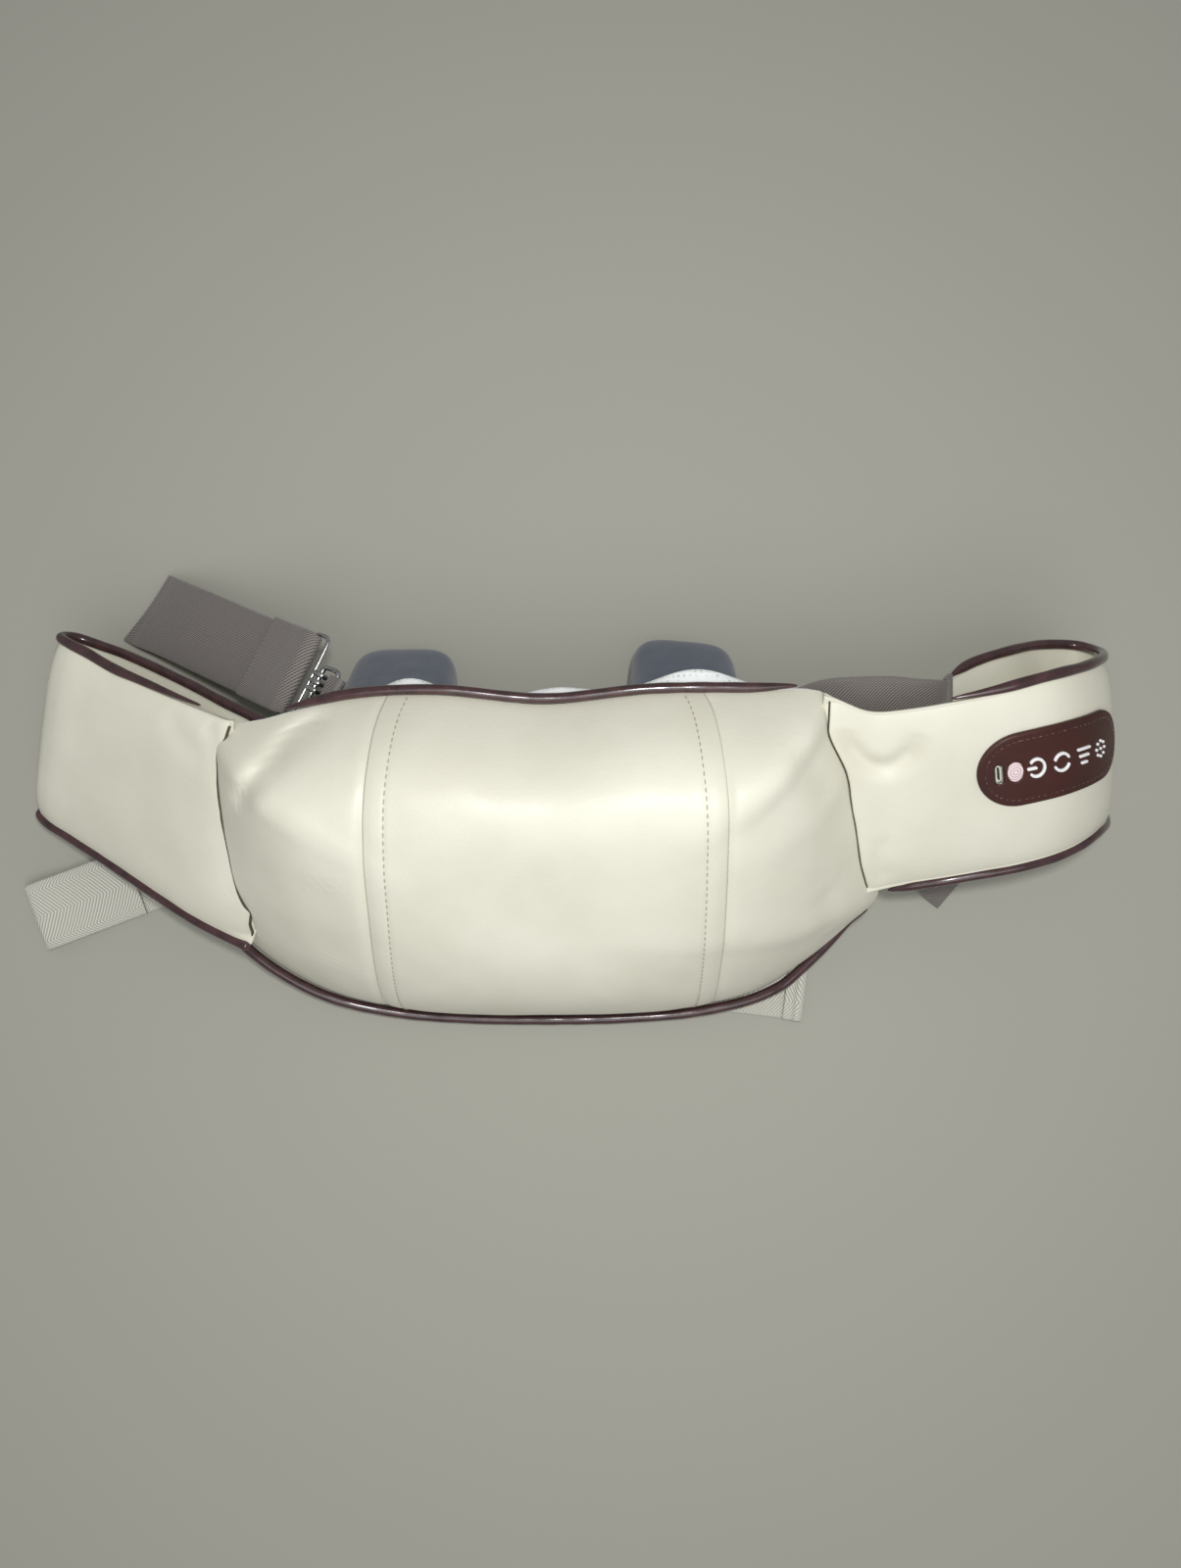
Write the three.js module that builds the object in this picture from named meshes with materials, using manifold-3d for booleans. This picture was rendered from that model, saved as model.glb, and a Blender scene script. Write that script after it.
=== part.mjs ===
// A heated massage belt: a padded leather pod with two geared rotors of silicone massage heads,
// two padded hand loops, one of which carries the buttons, and the straps that close the belt.
// Millimetres, +Z up. It lies leather side up, on its lower piping, its tall heads and its straps.
import * as THREE from "three";
import { mergeVertices } from "three/addons/utils/BufferGeometryUtils.js";
import Module from "manifold-3d";

const wasm = await Module();
wasm.setup();

const V = (x, y, z) => new THREE.Vector3(x, y, z);
const degrees = Math.PI / 180;

// Driving dimensions: the pod
const restTilt = 30 * degrees;
const podHalfWidth = 151;
const podAbove = 92;
const podBelow = 95;
const domeHeight = 54;
const backDepth = 22;
const leatherThickness = 1.6;
const frontPaddingThickness = 8;
const housingWall = 2.6;
const plateThickness = 3;
const meshThickness = 1.8;
const pipingRadius = 2.3;
const seamOffset = 75;

// Driving dimensions: the drive
const rotorSpacing = 68.5;
const rotorHeight = 25;
const rotorPhase = 7 * degrees;
const orbitRadius = 30;
const shaftRadius = 4;
const wheelPitchRadius = 20;
const wheelTeeth = 32;
const wheelThickness = 7;
const wormPitchRadius = 5;
const driveHeight = 20;
const motorRadius = 15;
const motorLength = 60;
const headWidth = 50.6;
const headDepth = 44;
const headCorner = 12;
const tallHeadReach = 81.4;
const shortHeadReach = 42;

// Driving dimensions: the hand loops, straps and controls
const armWidth = 85;
const armThickness = 7.2;
const armEdgeThickness = 4;
const armLeather = 1.2;
const leftArmLength = 90;
const leftArmDepth = 56;
const rightArmLength = 106;
const rightArmDepth = 58;
const elasticWidth = 38;
const elasticThickness = 1.8;
const webbingWidth = 34;
const webbingThickness = 1.6;
const patchWidth = 35;
const patchThickness = 1.6;
const keyTravel = 0.5;
const iconRadius = 4.5;
const boardThickness = 0.8;

// Clearances
const gap = 0.3;
const floorGap = 0.25;
const weldDistance = 0.001;
const sliver = 0.01;
const overrun = 5;
const swingRelief = [-10 * degrees, 0, 12 * degrees, 24 * degrees, 35 * degrees];

// Finishes
const finish = (color, roughness, metalness = 0) => new THREE.MeshStandardMaterial({ color, roughness, metalness });
const creamLeather = finish(0xded9c8, 0.5);
const brownPiping = finish(0x4a3233, 0.25);
const brownLeather = finish(0x55281f, 0.55);
const whiteFoam = finish(0xf0efe8, 0.95);
const paleMesh = finish(0xc9d3d3, 0.9);
const blackPlastic = finish(0x26282a, 0.5);
const whitePlastic = finish(0xf2f2ee, 0.4);
const greySilicone = finish(0x5b6470, 0.6);
const greyElastic = finish(0x5f5852, 0.9);
const creamWebbing = finish(0xc8cabc, 0.9);
const steel = finish(0xb8bcc0, 0.3, 1);
const brass = finish(0xc8a45a, 0.35, 1);
const acetal = finish(0xe8e4d6, 0.4);
const boardGreen = finish(0x1e5a3a, 0.5);
const batteryBlue = finish(0x2b4f7d, 0.45);
const amberFilm = finish(0xb5702a, 0.4);

// Solids from points

function signedVolume(points, faces) {
  let sum = 0;
  for (let i = 0; i < faces.length; i += 3) {
    const [a, b, c] = [points[faces[i]], points[faces[i + 1]], points[faces[i + 2]]];
    sum += a.dot(b.clone().cross(c));
  }
  return sum;
}

function geometryFromFaces(points, faces) {
  const outward = signedVolume(points, faces) < 0 ? faces.slice().reverse() : faces;
  const geometry = new THREE.BufferGeometry().setFromPoints(points);
  geometry.setIndex(outward);
  geometry.computeVertexNormals();
  return geometry;
}

// A closed body through rings of points, closed at both ends by a fan to a pole.
function ringBody(rings, firstPole, lastPole) {
  const around = rings[0].length;
  const points = [...rings.flat(), firstPole, lastPole];
  const first = points.length - 2;
  const faces = [];
  const fan = (start, pole, forward) => {
    for (let j = 0; j < around; j++) {
      const [a, b] = [start + j, start + ((j + 1) % around)];
      faces.push(...(forward ? [pole, a, b] : [pole, b, a]));
    }
  };
  for (let i = 0; i + 1 < rings.length; i++) {
    for (let j = 0; j < around; j++) {
      const [a, b] = [i * around + j, i * around + ((j + 1) % around)];
      const [c, d] = [a + around, b + around];
      const inward = Math.hypot(points[c].x, points[c].y) < Math.hypot(points[a].x, points[a].y);
      faces.push(...(inward ? [a, c, b, b, c, d] : [a, c, d, a, d, b]));
    }
  }
  fan(0, first, true);
  fan((rings.length - 1) * around, first + 1, false);
  return geometryFromFaces(points, faces);
}

// A closed body between two surfaces, each a grid of rows of points.
function slabBody(top, bottom) {
  const rows = top.length;
  const across = top[0].length;
  const points = [...top.flat(), ...bottom.flat()];
  const under = rows * across;
  const faces = [];
  const at = (i, j) => i * across + j;
  const quad = (a, b, c, d) => faces.push(a, b, c, a, c, d);
  for (let i = 0; i + 1 < rows; i++) {
    for (let j = 0; j + 1 < across; j++) {
      quad(at(i, j), at(i + 1, j), at(i + 1, j + 1), at(i, j + 1));
      quad(under + at(i, j), under + at(i, j + 1), under + at(i + 1, j + 1), under + at(i + 1, j));
    }
    quad(at(i, 0), under + at(i, 0), under + at(i + 1, 0), at(i + 1, 0));
    quad(at(i, across - 1), at(i + 1, across - 1), under + at(i + 1, across - 1), under + at(i, across - 1));
  }
  for (let j = 0; j + 1 < across; j++) {
    quad(at(0, j), at(0, j + 1), under + at(0, j + 1), under + at(0, j));
    quad(at(rows - 1, j), under + at(rows - 1, j), under + at(rows - 1, j + 1), at(rows - 1, j + 1));
  }
  return geometryFromFaces(points, faces);
}

function toSolid(geometry) {
  const loose = geometry.index ? geometry.toNonIndexed() : geometry;
  const bare = new THREE.BufferGeometry().setAttribute("position", loose.getAttribute("position"));
  const welded = mergeVertices(bare, weldDistance);
  return new wasm.Manifold(
    new wasm.Mesh({
      numProp: 3,
      vertProperties: welded.attributes.position.array,
      triVerts: new Uint32Array(welded.index.array),
    }),
  );
}

function toGeometry(solid) {
  const mesh = solid.getMesh();
  const geometry = new THREE.BufferGeometry();
  geometry.setAttribute("position", new THREE.BufferAttribute(new Float32Array(mesh.vertProperties), 3));
  geometry.setIndex(new THREE.BufferAttribute(new Uint32Array(mesh.triVerts), 1));
  geometry.computeVertexNormals();
  return geometry;
}

const largestOf = (solid) => solid.decompose().sort((a, b) => b.volume() - a.volume())[0];
const cutFrom = (geometry, ...cutters) =>
  toGeometry(largestOf(cutters.reduce((rest, cutter) => rest.subtract(cutter), toSolid(geometry)).simplify(sliver)));
const joined = (...geometries) => toGeometry(geometries.map(toSolid).reduce((all, one) => all.add(one)));

function box(x0, x1, y0, y1, z0, z1) {
  return new THREE.BoxGeometry(x1 - x0, y1 - y0, z1 - z0).translate((x0 + x1) / 2, (y0 + y1) / 2, (z0 + z1) / 2);
}

// An upright cylinder from z0 to z1 at (x, y).
function post(radius, z0, z1, x = 0, y = 0, sides = 20) {
  return new THREE.CylinderGeometry(radius, radius, z1 - z0, sides)
    .rotateX(Math.PI / 2)
    .translate(x, y, (z0 + z1) / 2);
}

function tube(outer, inner, z0, z1, sides = 20) {
  const profile = [V(inner, z0), V(outer, z0), V(outer, z1), V(inner, z1), V(inner, z0)];
  const lathe = new THREE.LatheGeometry(profile.map((p) => new THREE.Vector2(p.x, p.y)), sides);
  return lathe.rotateX(Math.PI / 2);
}

function sweep(curve, radius, steps, sides) {
  const section = new THREE.Shape();
  for (let i = 0; i < sides; i++) {
    const turn = (2 * Math.PI * i) / sides;
    const [x, y] = [radius * Math.cos(turn), radius * Math.sin(turn)];
    if (i === 0) section.moveTo(x, y);
    else section.lineTo(x, y);
  }
  return new THREE.ExtrudeGeometry(section, { steps, bevelEnabled: false, extrudePath: curve });
}

// Scene graph: the whole belt, the tilted pod and the groups that turn or slide
const belt = new THREE.Group();
const pod = new THREE.Group();
const podLift = podBelow * Math.sin(restTilt) + pipingRadius + floorGap;
pod.rotation.x = restTilt;
pod.position.z = podLift;
belt.add(pod);
pod.updateMatrixWorld(true);

function addTo(parent, name, geometry, material) {
  const mesh = new THREE.Mesh(geometry, material);
  mesh.name = name;
  parent.add(mesh);
  return mesh;
}

function groupIn(parent, name, x, y, z) {
  const group = new THREE.Group();
  group.name = name;
  group.position.set(x, y, z);
  parent.add(group);
  return group;
}

// The pod's outline, the centre line of its piping: shares of its half width and its height
const outlineShares = [
  [0, 0.94], [0.3, 0.99], [0.56, 0.995], [0.78, 0.94], [0.91, 0.74], [0.97, 0.38],
  [1, -0.05], [0.965, -0.38], [0.87, -0.62], [0.7, -0.84], [0.48, -0.95], [0.24, -0.99],
];
const outlineSteps = 34;
const outlinePoint = ([x, y], side) => V(side * x * podHalfWidth, y * (y > 0 ? podAbove : podBelow), 0);
const rightHalf = outlineShares.map((share) => outlinePoint(share, 1));
const leftHalf = outlineShares.slice(1).map((share) => outlinePoint(share, -1)).reverse();
const outlineCurve = new THREE.CatmullRomCurve3([...rightHalf, V(0, -podBelow, 0), ...leftHalf], true);
const outline = outlineCurve.getSpacedPoints(outlineSteps).slice(0, outlineSteps);

// The crown is steep along the top edge and slopes gently to the bottom edge.
const crownTopPower = 7;
const crownBottomPower = 2.6;
const backPower = 4;
const ringShares = [1, 0.965, 0.89, 0.73, 0.42];

function crownPower(point) {
  const rise = (point.y / podAbove + 1) / 2;
  return crownBottomPower + (crownTopPower - crownBottomPower) * Math.max(rise, 0) ** 2;
}

function domeRings(inset, height, rim, power) {
  return ringShares.map((share) =>
    outline.map((point) => {
      const edge = point.clone().multiplyScalar(share * (1 - inset / point.length()));
      return edge.setZ(rim + (height - rim) * (1 - share ** power(point)));
    }),
  );
}

// A domed solid on the pod's outline, from its rim's plane to its height.
function domeBody(inset, height, rim, power) {
  return ringBody(domeRings(inset, height, rim, power), V(0, 0, rim), V(0, 0, height));
}

// A domed shell between two insets.
function domeShell(inset, height, thickness, rim, power) {
  const side = Math.sign(height);
  const outer = domeRings(inset, height, rim, power).reverse();
  const inner = domeRings(inset + thickness, height - side * thickness, rim, power);
  return ringBody([...outer, ...inner], V(0, 0, height), V(0, 0, height - side * thickness));
}

const evenPower = () => backPower;
const leatherInset = pipingRadius + gap;
const paddingInset = leatherInset + leatherThickness + gap;
const housingInset = paddingInset + frontPaddingThickness + gap;
const paddingHeight = domeHeight - leatherThickness - gap;
const housingHeight = paddingHeight - frontPaddingThickness - gap;
const hollowHeight = housingHeight - housingWall;

// The front leather is one dome cut along its two seams into three panels.
const seamShares = [[1.08, -1.1], [1.03, -0.53], [1, 0], [0.99, 0.54], [0.96, 0.87], [0.84, 1.1]];

function seamCutter(side, from, to) {
  const seam = seamShares.map(([x, y]) => [side * x * seamOffset, y * (y > 0 ? podAbove : podBelow)]);
  const shape = new THREE.Shape();
  seam.forEach(([x, y], i) => (i === 0 ? shape.moveTo(x + from, y) : shape.lineTo(x + from, y)));
  seam.reverse().forEach(([x, y]) => shape.lineTo(to === null ? x - from : to, y));
  return toSolid(new THREE.ExtrudeGeometry(shape, { depth: domeHeight + overrun, bevelEnabled: false }));
}

const frontLeather = domeShell(leatherInset, domeHeight, leatherThickness, gap, crownPower);
const outside = podHalfWidth + overrun;
const leftOfSeam = seamCutter(-1, -gap / 2, -outside);
const rightOfSeam = seamCutter(1, gap / 2, outside);
const leftCut = seamCutter(-1, gap / 2, -outside);
const rightCut = seamCutter(1, -gap / 2, outside);
const leatherSolid = toSolid(frontLeather);
addTo(pod, "centre_front_panel", toGeometry(leatherSolid.subtract(leftCut).subtract(rightCut)), creamLeather);
addTo(pod, "left_front_panel", toGeometry(leatherSolid.intersect(leftOfSeam)), creamLeather);
addTo(pod, "right_front_panel", toGeometry(leatherSolid.intersect(rightOfSeam)), creamLeather);
const paddingShell = domeShell(paddingInset, paddingHeight, frontPaddingThickness, gap, crownPower);
addTo(pod, "front_padding", paddingShell, whiteFoam);

// Piping along the top and bottom edges, as stretches of the outline
const pipingSides = 6;
const podPipingSteps = 21;
const armPipingSteps = 21;
const topPipingShares = [0.895, 1.105];
const bottomPipingShares = [0.305, 0.705];

function outlineStretch([from, to], count) {
  const points = [];
  for (let i = 0; i <= count; i++) points.push(outlineCurve.getPointAt((from + ((to - from) * i) / count) % 1));
  return new THREE.CatmullRomCurve3(points);
}

const topPipingCurve = outlineStretch(topPipingShares, 16);
const bottomPipingCurve = outlineStretch(bottomPipingShares, 22);
addTo(pod, "pod_top_piping", sweep(topPipingCurve, pipingRadius, podPipingSteps, pipingSides), brownPiping);
addTo(pod, "pod_bottom_piping", sweep(bottomPipingCurve, pipingRadius, podPipingSteps, pipingSides), brownPiping);

// Housing: a domed front shell with screw bosses, and a rear plate with the motor's cradle
const screwShares = [[-0.78, -0.2], [0.78, -0.2], [-0.42, -0.68], [0.42, -0.68]];
const screwRadius = 1.5;
const screwHeadRadius = 3.2;
const screwHeadHeight = 1.6;
const screwLength = 14;
const bossRadius = 5;
const screwPlaces = screwShares.map(([x, y]) => [x * podHalfWidth, y * podAbove]);
const housingCore = toSolid(domeBody(housingInset + gap, housingHeight - gap, gap, crownPower));
let frontHousing = toSolid(domeShell(housingInset, housingHeight, housingWall, gap, crownPower));
for (const [x, y] of screwPlaces) {
  const boss = toSolid(post(bossRadius, gap, housingHeight, x, y)).intersect(housingCore);
  const pilot = toSolid(post(screwRadius + gap, -overrun, screwLength, x, y, 12));
  frontHousing = frontHousing.add(boss).subtract(pilot);
}
addTo(pod, "front_housing", toGeometry(frontHousing), blackPlastic);

const wormDistance = wheelPitchRadius + wormPitchRadius;
const motorHeightAlong = rotorHeight - wormDistance;
const bushRadius = 7;
const cradleOffset = 18;
const cradleThickness = 3;
const cradleHalfWidth = 17;
const boardPostShares = [[-0.16, 0.47], [0.16, 0.47], [-0.16, 0.62], [0.16, 0.62]];
const boardHeight = 6;
const boardPostSize = 5;
const plateShape = new THREE.Shape(
  outline.map((p) => p.clone().multiplyScalar(1 - housingInset / p.length())).map((p) => new THREE.Vector2(p.x, p.y)),
);
const platePlain = new THREE.ExtrudeGeometry(plateShape, { depth: plateThickness, bevelEnabled: false });
const motorSpace = toSolid(
  post(motorRadius + gap, -motorLength, motorLength, 0, 0, 28)
    .rotateY(Math.PI / 2)
    .translate(0, motorHeightAlong, driveHeight),
);
let rearPlate = toSolid(platePlain.translate(0, 0, -plateThickness));
for (const side of [-1, 1]) {
  const x = side * cradleOffset;
  const [y0, y1] = [motorHeightAlong - cradleHalfWidth, motorHeightAlong + cradleHalfWidth];
  const rib = box(x - cradleThickness / 2, x + cradleThickness / 2, y0, y1, -weldDistance, driveHeight);
  rearPlate = rearPlate.add(toSolid(rib).subtract(motorSpace));
  const bushHole = post(bushRadius + gap, -plateThickness - overrun, overrun, side * rotorSpacing, rotorHeight, 24);
  rearPlate = rearPlate.subtract(toSolid(bushHole));
}
for (const [xShare, yShare] of boardPostShares) {
  const [x, y] = [xShare * podHalfWidth, yShare * podAbove];
  const half = boardPostSize / 2;
  rearPlate = rearPlate.add(toSolid(box(x - half, x + half, y - half, y + half, -weldDistance, boardHeight)));
}
for (const [x, y] of screwPlaces) {
  const hole = toSolid(post(screwRadius + gap, -plateThickness - overrun, overrun, x, y, 12));
  const head = post(screwHeadRadius + gap, -plateThickness - overrun, -plateThickness + screwHeadHeight + gap, x, y, 16);
  rearPlate = rearPlate.subtract(hole).subtract(toSolid(head));
}
addTo(pod, "rear_plate", toGeometry(rearPlate), blackPlastic);

screwPlaces.forEach(([x, y], i) => {
  const head = post(screwHeadRadius, 0, screwHeadHeight, 0, 0, 12);
  const shank = post(screwRadius, screwHeadHeight - weldDistance, screwLength - gap + plateThickness - overrun, 0, 0, 10);
  const screw = groupIn(pod, "screw_place", x, y, -plateThickness);
  addTo(screw, `housing_screw_${i + 1}`, joined(head, shank), steel);
});

// Battery, main board and heating film
const batteryHalfLength = 38;
const batteryTop = 15;
const batteryShares = [-0.63, -0.27];
const batteryBounds = batteryShares.map((share) => share * podBelow);
addTo(pod, "battery_pack", box(-batteryHalfLength, batteryHalfLength, ...batteryBounds, gap, batteryTop), batteryBlue);
const mainBoardShares = [-0.2, 0.2, 0.42, 0.66];
const [boardLeft, boardRight] = mainBoardShares.slice(0, 2).map((share) => share * podHalfWidth);
const [boardLow, boardHigh] = mainBoardShares.slice(2).map((share) => share * podAbove);
const mainBoardThickness = 1.6;
const mainBoardBase = boardHeight + gap;
const mainBoard = box(boardLeft, boardRight, boardLow, boardHigh, mainBoardBase, mainBoardBase + mainBoardThickness);
addTo(pod, "main_board", mainBoard, boardGreen);
const filmThickness = 0.8;
const filmShares = [-0.55, 0.55, -0.72, -0.42];
const [filmLeft, filmRight] = filmShares.slice(0, 2).map((share) => share * podHalfWidth);
const [filmLow, filmHigh] = filmShares.slice(2).map((share) => share * podBelow);
const filmTop = -plateThickness - gap;
addTo(pod, "heating_film", box(filmLeft, filmRight, filmLow, filmHigh, filmTop - filmThickness, filmTop), amberFilm);

// Back padding and mesh cover, with a round opening for each rotor
const openingRadius = 57;
const openingSides = 20;
const backPaddingTop = filmTop - filmThickness - gap;
const backPaddingInset = leatherInset + meshThickness + gap;
const rotorOpenings = [-1, 1].map((side) =>
  toSolid(post(openingRadius, -backDepth - overrun, overrun, side * rotorSpacing, rotorHeight, openingSides)),
);
const meshShell = domeShell(leatherInset, -backDepth, meshThickness, -gap, evenPower);
addTo(pod, "mesh_back_cover", cutFrom(meshShell, ...rotorOpenings), paleMesh);
const backPadding = domeBody(backPaddingInset, -backDepth + meshThickness + gap, -gap, evenPower);
const abovePadding = toSolid(box(-outside, outside, -outside, outside, backPaddingTop, overrun));
const paddingOpenings = [-1, 1].map((side) =>
  toSolid(post(openingRadius, -backDepth - overrun, overrun, side * rotorSpacing, rotorHeight, openingSides)),
);
addTo(pod, "back_padding", cutFrom(backPadding, abovePadding, ...paddingOpenings), whiteFoam);

// Motor with a shaft out of both ends, and the bearings of that shaft
const motorEndLength = 4;
const motorEndRadius = 6;
const wormShaftRadius = 2;
const bearingOffset = 92;
const bearingLength = 8;
const bearingHalfWidth = 7;
const bearingTop = 5;
const motorProfile = [
  [wormShaftRadius + gap, -motorLength / 2],
  [motorEndRadius, -motorLength / 2],
  [motorEndRadius, -motorLength / 2 + motorEndLength],
  [motorRadius, -motorLength / 2 + motorEndLength],
  [motorRadius, motorLength / 2 - motorEndLength],
  [motorEndRadius, motorLength / 2 - motorEndLength],
  [motorEndRadius, motorLength / 2],
  [wormShaftRadius + gap, motorLength / 2],
  [wormShaftRadius + gap, -motorLength / 2],
].map(([r, y]) => new THREE.Vector2(r, y));
const motorBody = new THREE.LatheGeometry(motorProfile, 20).rotateZ(-Math.PI / 2);
addTo(pod, "drive_motor", motorBody.translate(0, motorHeightAlong, driveHeight), steel);
for (const [side, name] of [[-1, "left"], [1, "right"]]) {
  const x = side * bearingOffset;
  const half = bearingLength / 2;
  const [y0, y1] = [motorHeightAlong - bearingHalfWidth, motorHeightAlong + bearingHalfWidth];
  const block = box(x - half, x + half, y0, y1, gap, driveHeight + bearingTop);
  const bore = post(wormShaftRadius + gap, -bearingLength, bearingLength, 0, 0, 16).rotateY(Math.PI / 2);
  const bearing = cutFrom(block, toSolid(bore.translate(x, motorHeightAlong, driveHeight)));
  addTo(pod, `${name}_shaft_bearing`, bearing, blackPlastic);
}

// Worm shaft: a left-hand worm under the left wheel and a right-hand worm under the right wheel
const toothModule = (2 * wheelPitchRadius) / wheelTeeth;
const wormPitch = Math.PI * toothModule;
const wormTurns = 2;
const wormSteps = 9;
const wormRootRadius = wormPitchRadius - 1.1 * toothModule;
const wormTipRadius = wormPitchRadius + 0.7 * toothModule;
const threadWidthShare = 0.3;

function wormThread(hand) {
  const count = wormTurns * wormSteps;
  const rings = [];
  for (let i = 0; i <= count; i++) {
    const turns = i / wormSteps - wormTurns / 2;
    const angle = 2 * Math.PI * turns;
    const along = hand * wormPitch * (turns + 1 / 2);
    const corner = (radius, widthShare) => {
      const x = along + widthShare * wormPitch;
      return V(x, radius * Math.cos(angle), radius * Math.sin(angle));
    };
    const foot = wormRootRadius - gap;
    const [wide, narrow] = [threadWidthShare / 1.6, threadWidthShare / 2.6];
    rings.push([corner(foot, -wide), corner(wormTipRadius, -narrow), corner(wormTipRadius, narrow), corner(foot, wide)]);
  }
  const middle = (ring) => ring.reduce((sum, p) => sum.add(p), V(0, 0, 0)).divideScalar(ring.length);
  return ringBody(rings, middle(rings[0]), middle(rings[count]));
}

const wormShaft = groupIn(pod, "worm_shaft_axis", 0, motorHeightAlong, driveHeight);
const shaftHalfLength = bearingOffset + bearingLength / 2;
const wormHalfLength = (wormTurns / 2 + 1) * wormPitch;
let wormSolid = toSolid(post(wormShaftRadius, -shaftHalfLength, shaftHalfLength, 0, 0, 10).rotateY(Math.PI / 2));
for (const side of [-1, 1]) {
  const core = post(wormRootRadius, -wormHalfLength, wormHalfLength, 0, 0, 12).rotateY(Math.PI / 2);
  const worm = toSolid(core).add(toSolid(wormThread(side)));
  wormSolid = wormSolid.add(worm.translate(side * rotorSpacing, 0, 0));
}
addTo(wormShaft, "worm_shaft", toGeometry(wormSolid), steel);

// Worm wheel with straight teeth, one of them centred on each axis
function wheelShape() {
  const [tip, root] = [wheelPitchRadius + 0.8 * toothModule, wheelPitchRadius - toothModule];
  const toothShares = [[-0.24, root], [-0.13, tip], [0.13, tip], [0.24, root]];
  const shape = new THREE.Shape();
  for (let i = 0; i < wheelTeeth; i++) {
    toothShares.forEach(([share, radius], j) => {
      const turn = (2 * Math.PI * (i + share)) / wheelTeeth;
      const [x, y] = [radius * Math.cos(turn), radius * Math.sin(turn)];
      if (i + j === 0) shape.moveTo(x, y);
      else shape.lineTo(x, y);
    });
  }
  const bore = new THREE.Path().absarc(0, 0, shaftRadius + gap, 0, 2 * Math.PI, true);
  shape.holes.push(bore);
  return shape;
}

// A massage head: a rounded block that swells a little and closes in a soft tip
const headRingShares = [[0.9, 0], [1, 0.1], [1, 0.62], [0.97, 0.82], [0.86, 0.94], [0.62, 0.99]];
const headCornerSteps = 4;

function headSection(width, depth, corner) {
  const points = [];
  for (const [sx, sy, start] of [[1, 1, 0], [-1, 1, 1], [-1, -1, 2], [1, -1, 3]]) {
    for (let i = 0; i <= headCornerSteps; i++) {
      const turn = ((start + i / headCornerSteps) * Math.PI) / 2;
      const x = sx * (width / 2 - corner) + corner * Math.cos(turn);
      const y = sy * (depth / 2 - corner) + corner * Math.sin(turn);
      points.push(V(x, y, 0));
    }
  }
  return points;
}

function headBody(base, reach) {
  const section = headSection(headWidth, headDepth, headCorner);
  const rings = headRingShares.map(([size, along]) =>
    section.map((p) => p.clone().multiplyScalar(size).setZ(-base - (reach - base) * along)),
  );
  return ringBody(rings, V(0, 0, -base), V(0, 0, -reach));
}

// Rotors: wheel, output shaft in its bush, rotor arm and two heads
const bushBelow = 7;
const bushAbove = 6;
const armTop = 9;
const rotorArmThickness = 6;
const rotorArmRadius = 17;
const headBase = armTop + rotorArmThickness + gap;

function rotorArmBody() {
  const shape = new THREE.Shape();
  shape.absarc(0, orbitRadius, rotorArmRadius, 0, Math.PI, false);
  shape.absarc(0, -orbitRadius, rotorArmRadius, Math.PI, 2 * Math.PI, false);
  shape.holes.push(new THREE.Path().absarc(0, 0, shaftRadius + gap, 0, 2 * Math.PI, true));
  return new THREE.ExtrudeGeometry(shape, { depth: rotorArmThickness, bevelEnabled: false, curveSegments: 9 });
}

for (const [side, name] of [[-1, "left"], [1, "right"]]) {
  const bush = tube(bushRadius, shaftRadius + gap, -bushBelow, bushAbove);
  addTo(pod, `${name}_rotor_bush`, bush.translate(side * rotorSpacing, rotorHeight, 0), brass);
  const rotor = groupIn(pod, `${name}_rotor_axis`, side * rotorSpacing, rotorHeight, 0);
  const wheelBase = driveHeight - wheelThickness / 2;
  const wheelOptions = { depth: wheelThickness, bevelEnabled: false, curveSegments: 8 };
  const wheel = new THREE.ExtrudeGeometry(wheelShape(), wheelOptions);
  addTo(rotor, `${name}_worm_wheel`, wheel.translate(0, 0, wheelBase), acetal);
  const shaftEnd = driveHeight + wheelThickness / 2 + gap;
  addTo(rotor, `${name}_output_shaft`, post(shaftRadius, -headBase + gap, shaftEnd, 0, 0, 16), steel);
  const crank = groupIn(rotor, `${name}_crank`, 0, 0, 0);
  crank.rotation.z = rotorPhase;
  addTo(crank, `${name}_rotor_arm`, rotorArmBody().translate(0, 0, -armTop - rotorArmThickness), blackPlastic);
  addTo(crank, `${name}_tall_head`, headBody(headBase, tallHeadReach).translate(0, orbitRadius, 0), greySilicone);
  addTo(crank, `${name}_short_head`, headBody(headBase, shortHeadReach).translate(0, -orbitRadius, 0), greySilicone);
}

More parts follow.
